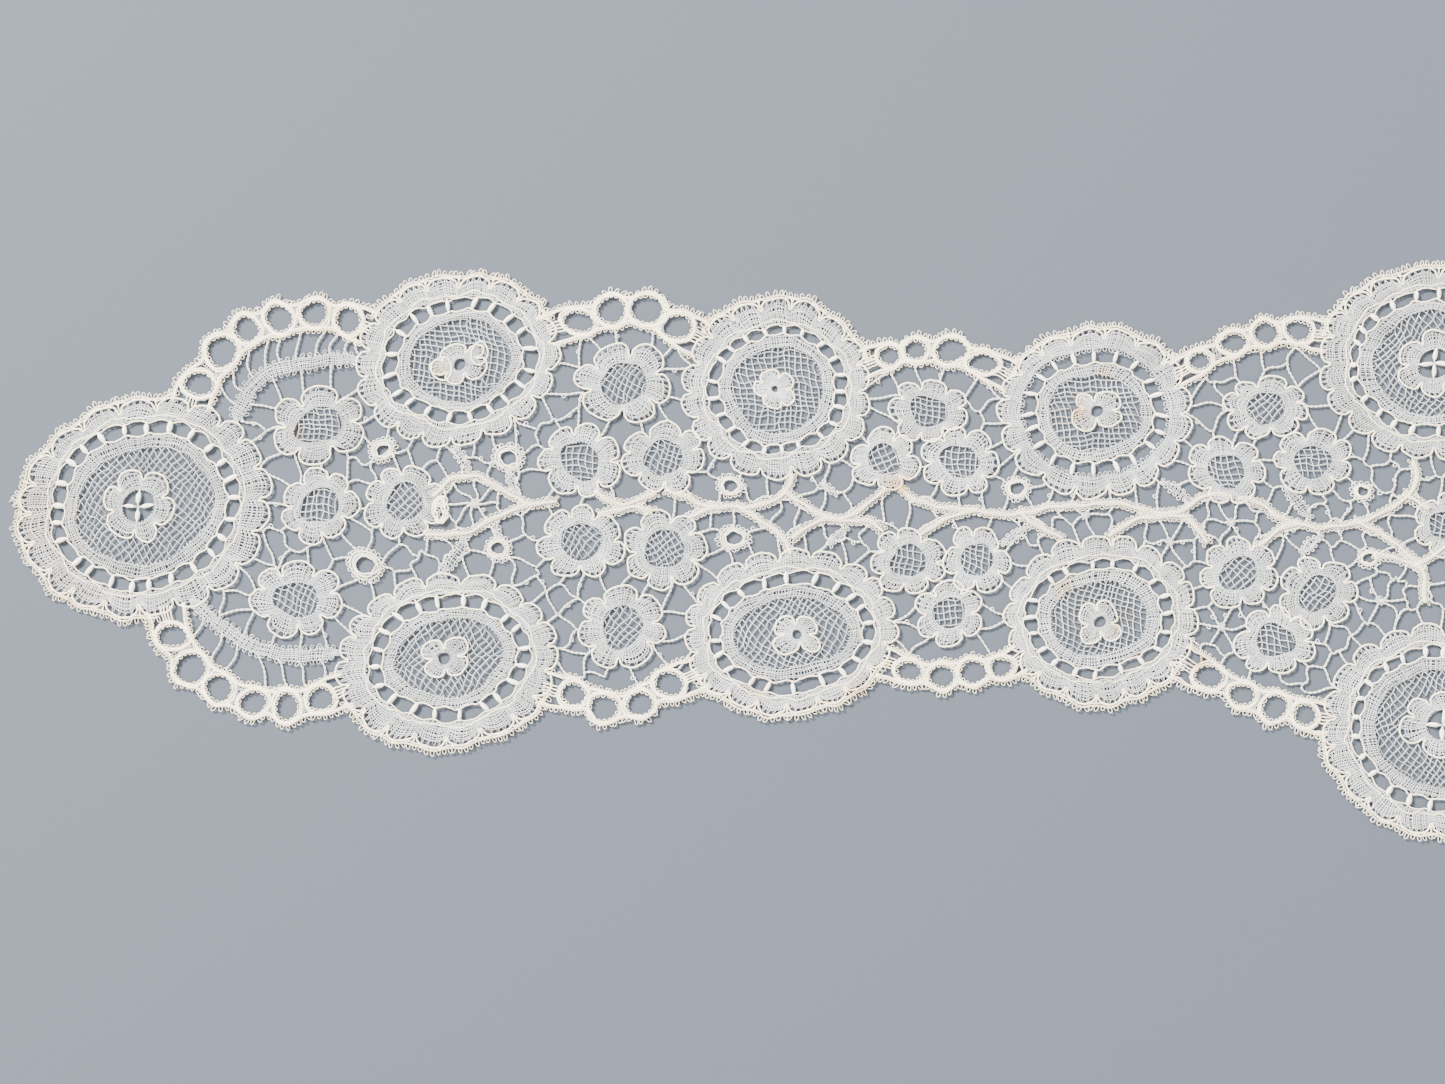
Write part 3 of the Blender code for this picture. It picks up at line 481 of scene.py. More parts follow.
def sideways(line, closed=False):
    """Unit vectors to the left of a flat line at each of its points."""
    ahead = headings(line, closed)
    return np.column_stack((-ahead[:, 1], ahead[:, 0]))


def at_height(line, height):
    return np.column_stack((line, np.broadcast_to(height, len(line))))


def handmade(points):
    """The unevenness of hand work, which moves threads that lie close by together."""
    x, y, z = points.T
    moved = []
    for here, there, w in ((x, y, WAVER_X), (y, x, WAVER_Y)):
        off = LONG_WAVER * np.sin(there / w.long + np.sin(here / w.bend))
        moved.append(here + (off + SHORT_WAVER * np.sin(there / w.short + here / w.skew)))
    a, b, c, d = LIFT_WAVES
    lift = 1 + np.sin(x / a + np.sin(y / b)) * np.sin(y / c + x / d)
    return np.column_stack((*moved, z + LIFT * lift / 2))


def add_object(name, data):
    made = bpy.data.objects.new(name, data)
    bpy.context.scene.collection.objects.link(made)
    return made


class Threads:
    """The tubes of one piece, gathered as arrays and made into one mesh at the end."""

    def __init__(self, kind, number=0):
        self.random = np.random.default_rng(SEED + SEEDS[kind] + number)
        self.points, self.ply, self.tones, self.faces, self.finishes = [], [], [], [], []
        self.count = 0

    def tube(self, line, radius, finish, sides=3, closed=False, flat=1.0):
        """A tube along a line. Its ply is where each point lies around and along the thread."""
        line = handmade(np.asarray(line, float))
        ahead = headings(line, closed)
        side = np.cross(ahead, UP)
        side /= np.maximum(np.linalg.norm(side, axis=1), TINY)[:, None]
        rise = np.cross(side, ahead)
        angles = TAU / 4 + np.arange(sides) * TAU / sides
        cosine, sine = np.cos(angles)[:, None], np.sin(angles)[:, None]
        ring = cosine * side[:, None] + flat * sine * rise[:, None]
        ring *= np.broadcast_to(radius, len(line))[:, None, None]
        self.points.append((line[:, None] + ring).reshape(-1, 3))
        ply = np.empty((len(line), sides, 3))
        ply[..., 0], ply[..., 1], ply[..., 2] = cosine.T, sine.T, distances(line)[:, None]
        self.ply.append(ply.reshape(-1, 3))
        knots = self.random.random(len(line) // TONE_LENGTH + 2)
        tone = np.interp(np.arange(len(line)) / TONE_LENGTH, np.arange(len(knots)), knots)
        self.tones.append(np.repeat((tone + self.random.random()) / 2, sides))
        here = np.arange(len(line) if closed else len(line) - 1)[:, None]
        after = (here + 1) % len(line)
        first = np.arange(sides)
        second = (first + 1) % sides
        corners = (here * sides + first, after * sides + first, after * sides + second, here * sides + second)
        self.add_faces(np.stack(corners, axis=-1).reshape(-1, 4), finish)
        if not closed:
            last = (len(line) - 1) * sides + first[::-1]
            self.add_faces(np.array([first, last]), finish)
        self.count += len(line) * sides

    def add_faces(self, faces, finish):
        self.faces.append(faces + self.count)
        self.finishes.append(np.full(len(faces), FINISHES.index(finish)))

    def make(self, slot, *nodes):
        """The mesh, which rides on the lappet's one body and stands for these CAD nodes."""
        name = f"{nodes[0]}_lace"
        points = np.vstack(self.points)
        stain = np.zeros(len(points))
        for s in STAINS:
            off = np.hypot(points[:, 0] - s.x, points[:, 1] - s.y) / s.reach
            stain = np.maximum(stain, s.strength * np.exp(-off * off))
        points[:, :2] -= MIDDLE
        corners = np.concatenate([f.ravel() for f in self.faces])
        totals = np.concatenate([np.full(len(f), f.shape[1]) for f in self.faces])
        mesh = bpy.data.meshes.new(name)
        mesh.vertices.add(len(points))
        mesh.vertices.foreach_set("co", (points * MM).ravel())
        mesh.loops.add(len(corners))
        mesh.loops.foreach_set("vertex_index", corners)
        mesh.polygons.add(len(totals))
        mesh.polygons.foreach_set("loop_start", np.concatenate(([0], np.cumsum(totals)[:-1])))
        mesh.polygons.foreach_set("loop_total", totals)
        mesh.polygons.foreach_set("material_index", np.concatenate(self.finishes))
        mesh.polygons.foreach_set("use_smooth", np.ones(len(totals), bool))
        mesh.update(calc_edges=True)
        ply = mesh.attributes.new("ply", "FLOAT_VECTOR", "POINT")
        ply.data.foreach_set("vector", np.vstack(self.ply).ravel())
        for label, values in (("tone", np.concatenate(self.tones)), ("stain", stain)):
            mesh.attributes.new(label, "FLOAT", "POINT").data.foreach_set("value", values)
        for finish in FINISHES:
            mesh.materials.append(MATERIALS[finish])
        piece = add_object(name, mesh)
        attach(piece, "root")
        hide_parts(*nodes)
        return piece


def waves(random, count, length, every=5):
    """Slow random waves around 0, one for each of a count of threads, which end as they start."""
    knots = random.normal(0, 1, (length // every + 2, count))
    knots[-1] = knots[0]
    places = np.linspace(0, len(knots) - 1, length, endpoint=False)
    return np.column_stack([np.interp(places, np.arange(len(knots)), knots[:, n]) for n in range(count)])


def cloth(lace, kind, inner, outer, closed=True, height=CLOTH_HEIGHT, most_shift=0.4, margin=0.03):
    """Cloth stitch between two edges that run side by side, with a row of the weaver at each of their points.

    The passives run along the edges. The weaver goes over and under them from edge to edge and back, and two
    of its rows share each turn, so small openings are left along the edges.
    """
    passives, inner_share, outer_share = WEAVES[kind]
    rows = len(inner)
    ahead = np.roll(np.arange(rows), -1)
    if not closed:
        ahead[-1] = rows - 1
    shift = np.clip(lace.random.normal(0, ROW_SHIFT, rows), -most_shift, most_shift)[:, None]
    inner, outer = inner + (inner[ahead] - inner) * shift, outer + (outer[ahead] - outer) * shift
    shares = np.linspace(inner_share, 1 - outer_share, passives)
    shares = shares + CROWDING / passives * waves(lace.random, passives, rows)
    grid = inner[:, None] + (outer - inner)[:, None] * np.clip(shares, margin, 1 - margin)[:, :, None]
    for number in range(passives):
        line = grid[::2, number]
        if not closed:
            line = np.vstack((line, grid[-1:, number]))
        lace.tube(at_height(line, height), CLOTH_THREAD, "cloth", closed=closed)
    over = (-1.0) ** (np.arange(rows)[:, None] + np.arange(passives))
    woven = np.dstack((grid, height + WEAVE * over))
    woven[1::2] = woven[1::2, ::-1]
    turns = np.full((rows, 1, 3), height)
    turns[::2, 0, :2] = ((outer + outer[ahead]) / 2)[::2]
    turns[1::2, 0, :2] = ((inner + inner[ahead]) / 2)[1::2]
    weaver = np.concatenate((woven, turns), axis=1).reshape(-1, 3)
    lace.tube(weaver, CLOTH_THREAD, "cloth", closed=closed)


def gimp(lace, kind, line, closed=True):
    """A thick thread that outlines a motif, a little unsteady."""
    radius, wander, height = GIMPS[kind]
    unsteady = lace.random.normal(0, wander, (len(line), 2))
    lace.tube(at_height(line + unsteady, height), radius, "gimp", sides=4, closed=closed)


def plait(lace, line, height=PLAIT_HEIGHT, finish="plait", step=0.45, half=0.15, rise=0.09):
    """Two strands that twist around a line."""
    line = spaced(line, step)
    side = sideways(line)
    phase = np.arange(len(line)) * step * TAU / TWIST + lace.random.uniform(0, TAU)
    for strand in (0, TAU / 2):
        place = line + side * (half * np.cos(phase + strand))[:, None]
        lace.tube(at_height(place, height + rise * np.sin(phase + strand)), PLAIT_STRAND, finish)


def tally(lace, start, end, half, tip=0.2):
    """A leaf-shaped plait from one point to another, thin at both ends."""
    first, last = lace.random.uniform(tip, 0.85, 2)
    widths = np.array((tip, first, 0.9, 1.0, 0.92, last, tip)) * half * lace.random.uniform(0.85, 1.15)
    line = at_height(start + (end - start) * TALLY_STOPS[:, None], TALLY_HEIGHT)
    lace.tube(line, widths, "leaf", sides=6, flat=0.45)


def picots(lace, kind, spots, outward, points=8, half=0.36, root=0.15, rise=0.08, uneven=0.25):
    """Small loops of thread that stand out from an edge, one at each spot."""
    _, length, finish, height = PICOTS[kind]
    t = np.arange(points) * TAU / points
    for spot, out in zip(spots, outward):
        reach = length * lace.random.uniform(0.8, 1.2)
        lean = lace.random.normal(0, uneven)
        away = reach * (0.5 - 0.5 * np.cos(t)) - root
        across = half * np.sin(t) + lean * away
        line = spot + away[:, None] * out + across[:, None] * np.array((-out[1], out[0]))
        lace.tube(at_height(line, height + rise * np.sin(t)), PICOT_THREAD, finish, closed=True)


def picot_row(lace, kind, line, side, closed=False, choose=None):
    """Picots along a line's left side, or its right one with side -1, at all spots or the chosen ones."""
    spots = spaced(line, PICOTS[kind].spacing, closed)
    outward = side * sideways(spots, closed)
    if choose:
        chosen = choose(spots)
        spots, outward = spots[chosen], outward[chosen]
    picots(lace, kind, spots, outward)


def picot_sides(lace, kind, line, half, choose=None):
    """Picots along both sides of a band, half its width from its middle line."""
    for sign in (-1, 1):
        picot_row(lace, kind, line + sign * half, sign, choose=choose)


def net(lace, allowed, middle, reach, mesh, turn, bend=0.45, ripple=0.3, uneven=0.14, rise=0.07):
    """Two families of threads that cross at shared points, wherever points are allowed."""
    count = int(2 * reach / min(mesh)) + 2
    i, j = np.meshgrid(np.arange(-count, count + 1), np.arange(-count, count + 1), indexing="ij")
    spots = np.column_stack(((i + j).ravel() * mesh[0] / 2, (i - j).ravel() * mesh[1] / 2))
    spots = turned(spots, turn, np.zeros(2)) + middle
    phase = lace.random.uniform(0, TAU, 4)
    spots += bend * np.sin(spots[:, ::-1] / BEND_WAVES + phase[:2])
    spots += ripple * np.sin(spots / RIPPLE_WAVES + phase[2:])
    spots += lace.random.normal(0, uneven, spots.shape)
    good = allowed(spots).reshape(i.shape)
    over = rise * (-1.0) ** (i + j)
    spots = spots.reshape(*i.shape, 2)
    for places, fine, heights in ((spots, good, over), (spots.transpose(1, 0, 2), good.T, -over.T)):
        for row in range(len(places)):
            for start, end in runs(fine[row]):
                line = at_height(places[row, start:end], NET_HEIGHT + heights[row, start:end])
                lace.tube(line, NET_THREAD, "cloth")


def runs(flags):
    """The starts and ends of stretches of two or more true values."""
    edges = np.flatnonzero(np.diff(np.concatenate(([0], flags.astype(int), [0]))))
    return [(a, b) for a, b in zip(edges[::2], edges[1::2]) if b - a > 1]


def lobe_wander(x, y, angles):
    """How far the lobes are out of place around a motif, as shares of a lobe's angle."""
    return LOBE_WANDER[0] * np.sin(2 * angles + 2 * x) + LOBE_WANDER[1] * np.sin(3 * angles + 2 * y)


def lobed(x, y, rx, ry, count, angles, turn=0.0, deepest=1.0):
    """An edge of round lobes with narrow notches between them, at these angles from its turn.

    The lobes are uneven, in a way that depends on where the motif lies.
    """
    across = (angles * count / TAU) % 1.0
    shape = np.interp(np.minimum(across, 1 - across), [s.across for s in LOBE], [s.inward for s in LOBE])
    width = math.pi * (rx + ry) / count
    around = angles + math.radians(turn) + lobe_wander(x, y, angles) / count
    uneven = LOBE_UNEVEN[0] * np.sin(2 * around + 3 * x) + LOBE_UNEVEN[1] * np.sin(3 * around + 5 * y)
    inward = LOBE_DEPTH * width * np.minimum(shape, deepest) + uneven
    return np.column_stack((x + (rx - inward) * np.cos(around), y + (ry - inward) * np.sin(around)))


def beyond_lobes(points, x, y, rx, ry, count, turn=0.0, tilt=0.0):
    """About how far points lie outside an edge of lobes, and less than 0 inside it."""
    middle = np.array((x, y))
    across, up = (turned(points, -tilt, middle) - middle).T
    angles = np.arctan2(up / ry, across / rx) - math.radians(turn)
    angles -= lobe_wander(x, y, angles) / count
    edge = turned(lobed(x, y, rx, ry, count, angles, turn), tilt, middle)
    return beyond(points, x, y, rx, ry, tilt) - beyond(edge, x, y, rx, ry, tilt)


def lobe_angles(count):
    """Angles for an outline of lobes, closest together at its notches."""
    stops = np.array([s.across for s in LOBE])
    stops = np.concatenate((stops[:-1], 1 - stops[:0:-1]))
    return ((np.arange(count)[:, None] + stops) * TAU / count).ravel()


def row_angles(count, rows):
    """Angles for rows of weaving, an even number of them, with none on a slit."""
    total = count * rows + (count * rows) % 2
    return (np.arange(total) + 0.5) * TAU / total


def medallion_edge(m, angles, grow=0.0, deepest=1.0):
    """A medallion's scalloped edge, or one that lies further out with less deep notches."""
    return tilted(lobed(*grown(m, grow), m.scallops, angles, deepest=deepest), m)


def ring_curve(m, ring, angles, pull=0.0, grow=0.0):
    """One of a medallion's inner curves, drawn towards its tallies where they join it."""
    rx, ry = getattr(m, f"{ring}_rx"), getattr(m, f"{ring}_ry")
    cusp = pull * np.abs(np.cos(angles * m.tallies / 2)) ** 4
    return tilted(ellipse(m.in_x, m.in_y, rx + grow + cusp, ry + grow + cusp, angles), m)


def outer_spots(line, clear=0.6):
    """Which points of a line lie on the lappet's outer edge, free of its other pieces."""
    free = ~inside(line, GROUND_EDGE)
    for e in EYELETS:
        free &= beyond(line, *grown(e, EYELET_RIM)) > clear
    return free


def picot_edge(lace, m, points=400, shortest=8, inwards=0.42, notch_depth=0.8, spread=0.3):
    """The braid with picots that runs along the medallion's part of the lappet's outer edge."""
    line = medallion_edge(m, np.arange(points) * TAU / points, EDGE_OUT, BRAID_DEPTH)
    free = outer_spots(line)
    start = int(np.flatnonzero(~free)[0])
    line, free = np.roll(line, -start, axis=0), np.roll(free, -start)
    for first, last in runs(free):
        if last - first > shortest:
            stretch = line[first:last]
            plait(lace, stretch, height=GIMP_HEIGHT, finish="gimp")
            gimp(lace, "braid", spaced(stretch + sideways(stretch) * inwards, 1.0), closed=False)
            picot_row(lace, "medallion", stretch, -1)
    notches = np.arange(m.scallops) * TAU / m.scallops
    outer = medallion_edge(m, notches, EDGE_OUT, BRAID_DEPTH)
    free = outer_spots(outer)
    for a, b in zip(outer[free], medallion_edge(m, notches, deepest=notch_depth)[free]):
        side = sideways(np.array((a, b)))[0] * spread
        for sign in (-1, 1):
            gimp(lace, "notch", np.array((a + sign * side, (a + b) / 2, b)), closed=False)


def make_medallion(number, m, tally_points=8, shift=0.16, lean=0.02):
    lace = Threads("medallion", number)
    rows = row_angles(m.scallops, LOBE_ROWS)
    cloth(lace, "medallion", ring_curve(m, "window", rows), medallion_edge(m, rows, -CLOTH_MARGIN))
    gimp(lace, "outline", medallion_edge(m, lobe_angles(m.scallops)))
    picot_edge(lace, m)
    if number == 1:
        for route in TIP_ENDS:
            lace.tube(at_height(smooth(route, 0.3), PLAIT_HEIGHT), TAIL_THREAD, "gimp")

    fine = np.arange(m.tallies * tally_points) * TAU / (m.tallies * tally_points)
    if m.picoted:
        picot_row(lace, "window", ring_curve(m, "window", fine), 1, closed=True)
    else:
        loose = 0.25 + 0.3 * np.sin(fine * m.tallies / 2 + lace.random.uniform(0, TAU))
        gimp(lace, "window", ring_curve(m, "window", fine, pull=-0.45, grow=0.05))
        gimp(lace, "loose", ring_curve(m, "window", fine, pull=0.2, grow=0.45 + loose))
    gimp(lace, "inner ring", ring_curve(m, "ring", fine, pull=0.45, grow=-0.15))

    places = (np.arange(m.tallies) + lace.random.uniform(-shift, shift, m.tallies)) * TAU / m.tallies
    leans = lace.random.normal(0, lean, m.tallies)
    starts, ends = ring_curve(m, "ring", places), ring_curve(m, "window", places + leans, grow=0.1)
    for start, end in zip(starts, ends):
        tally(lace, start, end, TALLY_HALF + TALLY_SHARE * m.window_rx)

    length = TAU * (m.ring_rx + m.net_rx + m.ring_ry + m.net_ry) / 4
    rows = row_angles(1, int(length / ROW))
    cloth(lace, "inner ring", ring_curve(m, "net", rows), ring_curve(m, "ring", rows))

    middle, inner_middle = tilted([(m.flower_x, m.flower_y), (m.in_x, m.in_y)], m)
    rows = row_angles(m.petals, LOBE_ROWS)
    flower = (m.flower_x, m.flower_y, m.flower_rx, m.flower_ry, m.petals)
    hole = tilted(ellipse(m.flower_x, m.flower_y, m.hole, m.hole, rows), m)
    wide = m.hole > WIDE_HOLE
    cloth(lace, "wide centre" if wide else "small centre", hole, tilted(lobed(*flower, rows), m))
    gimp(lace, "outline", tilted(lobed(*flower, lobe_angles(m.petals)), m))
    if wide:
        for quarter in range(4):
            out = np.array((math.cos(quarter * TAU / 4), math.sin(quarter * TAU / 4)))
            tally(lace, middle + 0.1 * out, middle + (m.hole + 0.2) * out, half=0.5)

    def allowed(points):
        around = beyond(points, *inner_middle, m.net_rx, m.net_ry, m.tilt)
        centre = beyond(points, *middle, m.flower_rx, m.flower_ry, m.tilt)
        return (around < NET_UNDER_CLOTH) & (centre > -NET_UNDER_CENTRE)

    net(lace, allowed, middle, m.net_rx + 3, MEDALLION_MESH, m.net_turn)
    if number == 2:
        for curl in CURLS:
            gimp(lace, "curl", ellipse(*grown(curl, 0), row_angles(1, 24)))
    return lace.make("cloth_stitch", f"medallion_{number}")


def make_flower(number, f):
    lace = Threads("flower", number)
    halfway = (1 + CORE_SHARE) / 2 * (f.rx + f.ry) / 2
    rows = row_angles(f.petals, round(TAU * halfway / f.petals / ROW))
    core_x, core_y = f.rx * CORE_SHARE, f.ry * CORE_SHARE
    bulge = 1 + CORE_BULGE[0] * np.sin(2 * rows + 3 * f.y) + CORE_BULGE[1] * np.sin(3 * rows + 4 * f.x)
    core = ellipse(f.x, f.y, core_x * bulge, core_y * bulge, rows + math.radians(f.turn))
    cloth(lace, "flower", core, lobed(*grown(f, -CLOTH_MARGIN), f.petals, rows, f.turn))
    gimp(lace, "outline", lobed(*grown(f, 0), f.petals, lobe_angles(f.petals), f.turn))

    def allowed(points):
        return beyond(points, f.x, f.y, core_x, core_y) < NET_UNDER_CLOTH

    turn = lace.random.choice(FLOWER_NET_TURNS)
    net(lace, allowed, np.array((f.x, f.y)), f.rx, FLOWER_MESH, turn)
    return lace.make("cloth_stitch", f"flower_{number:02d}")


def band_side(band, sign, spread, tuck=1.2, least_gap=0.4, step=0.55):
    """A route along one side of an edge band, this far from its eyelets, from medallion to medallion.

    The side with sign 1 is the lappet's outer edge, where the route dips further in between the eyelets.
    """
    ends = (MEDALLIONS[band.first], *band.eyelets, MEDALLIONS[band.last])
    middles = np.array([(e.x, e.y) for e in ends])
    normals = sideways(middles) * sign
    reach = np.array([math.hypot(e.rx * n[0], e.ry * n[1]) + spread for e, n in zip(ends, normals)])
    tips = (middles + normals * reach[:, None])[1:-1]
    dip = OUTER_DIP if sign == 1 else INNER_DIP
    route = [tips[0]]
    for a, b in zip(tips, tips[1:]):
        inwards = np.array((b - a)[::-1]) * (1, -1) / np.linalg.norm(b - a) * sign
        route += [(a + b) / 2 + inwards * dip, b]
    for m, place in ((ends[0], 0), (ends[-1], -1)):
        towards = np.array((m.x, m.y)) - middles[1 if place == 0 else -2]
        towards /= np.linalg.norm(towards)
        gap = float(beyond(route[place][None], *grown(m, -tuck), m.tilt)[0])
        if gap > least_gap:
            route.insert(0 if place == 0 else len(route), route[place] + towards * gap)
    return smooth(route, step)


def link(lace, m, e, start=0.5, tuck=1.4):
    """Threads side by side that join an eyelet's rim to its medallion."""
    line = spaced([(e.x, e.y), (m.x, m.y)], 0.5)
    line = line[(beyond(line, *grown(e, start)) > 0) & (beyond(line, *grown(m, -tuck), m.tilt) > 0)]
    if len(line) > 1:
        for offset in LINK_OFFSETS:
            gimp(lace, "link", line + sideways(line) * offset, closed=False)


def make_edge_band(number, band, pair_of_rows=1.1, post_half=0.6, overlap=0.4):
    """Cords around each eyelet and along both sides, with picots inside and outside."""
    lace = Threads("edge_band", number)
    for e in band.eyelets:
        rows = row_angles(1, 2 * round(TAU * (e.rx + e.ry + EYELET_RIM) / 2 / pair_of_rows))
        hole, rim = (ellipse(*grown(e, grow), rows) for grow in EYELET_CLOTH)
        cloth(lace, "eyelet", hole, rim)
        for cord in EYELET_CORDS:
            gimp(lace, cord.gimp, ellipse(*grown(e, cord.place), rows[::2]))
        picot_row(lace, "eyelet", hole, 1, closed=True)
    sides = [band_side(band, sign, POST_SPREAD) for sign in (-1, 1)]
    for a, b in zip(band.eyelets, band.eyelets[1:]):
        middle = np.array((a.x + b.x, a.y + b.y)) / 2
        post = spaced([line[np.linalg.norm(line - middle, axis=1).argmin()] for line in sides], 0.6)
        offset = sideways(post) * post_half
        cloth(lace, "post", post - offset, post + offset, closed=False)
    ends = (MEDALLIONS[band.first], MEDALLIONS[band.last])

    def free(spots):
        return np.all([beyond(spots, *grown(m, -overlap), m.tilt) > 0 for m in ends], axis=0)

    for sign, side in ((-1, "inner side"), (1, "outer side")):
        gimp(lace, "edge band", band_side(band, sign, CORD_SPREAD)[::2], closed=False)
        edge = band_side(band, sign, PLAIT_SPREAD)
        plait(lace, edge, height=GIMP_HEIGHT, finish="gimp")
        picot_row(lace, side, edge, sign, choose=free)
    for m, e in zip(ends, (band.eyelets[0], band.eyelets[-1])):
        link(lace, m, e)
    return lace.make("cream_braid", f"edge_band_{number}")


def tapering(count, half, run, narrow):
    """Half widths of a band, which grow over a run of points from each of its narrow ends."""
    from_end = np.minimum(np.arange(count), np.arange(count)[::-1])
    return half * np.clip(from_end / run, narrow, 1)[:, None]


def make_arc_band(number, arc):
    lace = Threads("arc_band", number)
    line = smooth(arc.route, ROW)
    half = sideways(line) * tapering(len(line), ARC_HALF, run=4, narrow=0.5)
    cloth(lace, "arc band", line - half, line + half, closed=False)
    picot_sides(lace, "arc band", line, half, choose=lambda spots: slice(1, -1))
    return lace.make("cloth_stitch", f"arc_band_{number}")


def make_small_ring(number, r, row=0.42, margin=0.35, opening=(0.35, 0.15)):
    lace = Threads("small_ring", number)
    rows = row_angles(1, 2 * round(TAU * (r.rx + r.hole) / 4 / row))
    hole = ellipse(r.x, r.y, r.hole + opening[0], r.hole + opening[1], rows)
    rim = ellipse(*grown(r, -margin), rows)
    cloth(lace, "small ring", hole, rim)
    for cord in SMALL_RING_CORDS:
        gimp(lace, cord.gimp, (hole + (rim - hole) * cord.place)[::2])
    picot_row(lace, "small ring", rim, -1, closed=True)
    return lace.make("cream_braid", f"small_ring_{number}")


def make_stem(number, branches, extra=0.9, row=0.6, step=0.4, twist=2.4, strands=3, rise=0.12):
    """Cords that stand proud along the branches, with open cloth and picots on both sides."""
    lace = Threads("stem", number)
    for branch in branches:
        branch = longer(branch, extra)
        line = smooth(branch, row)
        margin = sideways(line) * STEM_MARGIN
        cloth(lace, "stem", line - margin, line + margin, closed=False)
        core = smooth(branch, step)
        phase = np.arange(len(core)) * step * TAU / twist
        swell = 0.26 + 0.09 * np.sin(phase * 0.31 + lace.random.uniform(0, TAU))
        for strand in range(strands):
            turn = phase + strand * TAU / strands
            place = core + sideways(core) * (swell * np.sin(turn))[:, None]
            lace.tube(at_height(place, STEM_HEIGHT + rise * np.cos(turn)), STEM_STRAND, "gimp")
        picot_sides(lace, "stem", line, margin)
    if number == 1:
        for cord in STEM_LOOP_CORDS:
            gimp(lace, cord.gimp, ellipse(*grown(STEM_LOOP, cord.place), row_angles(1, 22)))
    return lace.make("cream_braid", f"stem_{number}")


def ground_edge():
    """How far the ground reaches: from motif to motif along both edges, and along the heading."""
    inner = HEADING_X[0] + 0.5
    edge = []
    for band in EDGE_BANDS:
        edge += [(e.x, e.y) for e in (MEDALLIONS[band.first], *band.eyelets)]
        if band.last == UPPER_END:
            upper, lower = MEDALLIONS[UPPER_END], MEDALLIONS[UPPER_END + 1]
            edge += [(upper.x, upper.y), (inner, upper.y), (inner, lower.y)]
    return np.array(edge)


def motif_room(points, motif, lobes, turn, tilt, notched):
    """How far points are from a medallion or a flower."""
    if notched:
        return beyond_lobes(points, *grown(motif, 0), lobes, turn, tilt) + OVERLAPS["notch"]
    return beyond(points, *grown(motif, -OVERLAPS["motif"]), tilt)


def rooms(points, notched):
    """How far points are from each of the pieces that the ground joins."""
    for m in MEDALLIONS:
        yield motif_room(points, m, m.scallops, 0, m.tilt, notched)
    for f in FLOWERS:
        yield motif_room(points, f, f.petals, f.turn, 0, notched)
    for r in SMALL_RINGS:
        yield beyond(points, *grown(r, -OVERLAPS["small ring"]))
    for e in EYELETS:
        yield beyond(points, *grown(e, EYELET_RIM - OVERLAPS["eyelet"]))
    for arc in ARC_BANDS:
        yield beyond_route(points, arc.route) - ARC_HALF + OVERLAPS["arc band"]
    for branch in sum(STEMS, []):
        yield beyond_route(points, branch) - STEM_ROOM
    for bar in BARS:
        yield beyond_route(points, bar) - BAR_HALF + OVERLAPS["bar"]


def ground_room(points, notched=False):
    """How far points of the ground are from the motifs around them, and less than 0 inside one.

    The room reaches into the notches between a motif's lobes only if it is notched.
    """
    room = reduce(np.minimum, rooms(points, notched))
    room[~inside(points, GROUND_EDGE)] = -1.0
    for arc in ARC_BANDS:
        room[inside(points, np.array([*arc.route, *reversed(outer_centres(arc))]))] = -1.0
    return room


def outer_centres(arc):
    """The middles of the eyelets outside an arc band, from left to right as its route runs."""
    middles = [(e.x, e.y) for e in arc.band.eyelets]
    return middles if middles[0][0] < middles[-1][0] else middles[::-1]


def legs(lace, arc, shortest=4, wave=0.45, lean=0.45, uneven=0.2, rim=1.1):
    """Plaits that join an arc band to the eyelets outside it."""
    line = smooth(arc.route, arc.leg_spacing)
    outwards = sideways(line)
    to_eyelets = np.mean(outer_centres(arc), axis=0) - line.mean(axis=0)
    if np.dot(outwards[len(line) // 2], to_eyelets) < 0:
        outwards = -outwards
    for spot, out in zip(line[1:], outwards[1:]):
        aslant = lace.random.normal(lean, uneven)
        heading = out + aslant * np.array((-out[1], out[0])) * (-1 if out[1] > 0 else 1)
        path = spot + heading / np.linalg.norm(heading) * LEG_REACH
        room = [beyond(path, *grown(e, rim)) for e in arc.band.eyelets]
        room += [beyond(path, *grown(m, -OVERLAPS["motif"]), m.tilt) for m in MEDALLIONS]
        met = np.flatnonzero(np.min(room, axis=0) < 0)
        if len(met) and met[0] > shortest:
            stretch = path[: met[0]]
            aside = wave * np.sin(np.linspace(0, lace.random.uniform(3, 7), len(stretch)))
            plait(lace, stretch + sideways(stretch) * aside[:, None])


def mesh_middles(pitch=0.55):
    """The middles of the ground's meshes: each new one goes where there is most room."""
    low, high = GROUND_EDGE.min(axis=0), GROUND_EDGE.max(axis=0)
    grid = np.meshgrid(np.arange(low[0], high[0], pitch), np.arange(low[1], high[1], pitch))
    spots = np.column_stack([g.ravel() for g in grid])
    room = ground_room(spots)
    spots, room = spots[room > 0], room[room > 0] / MESH_CLEARANCE
    found = []
    for s in SPIDERS:
        angles = (np.arange(s.legs) + 0.5) * TAU / s.legs
        found += list(ellipse(s.x, s.y, s.reach, s.reach, angles))
    for spot in found:
        room = np.minimum(room, np.linalg.norm(spots - spot, axis=1) / MESH_PITCH)
    while room.max() > 1:
        best = spots[int(room.argmax())]
        found.append(best)
        room = np.minimum(room, np.linalg.norm(spots - best, axis=1) / MESH_PITCH)
    return np.array(found)


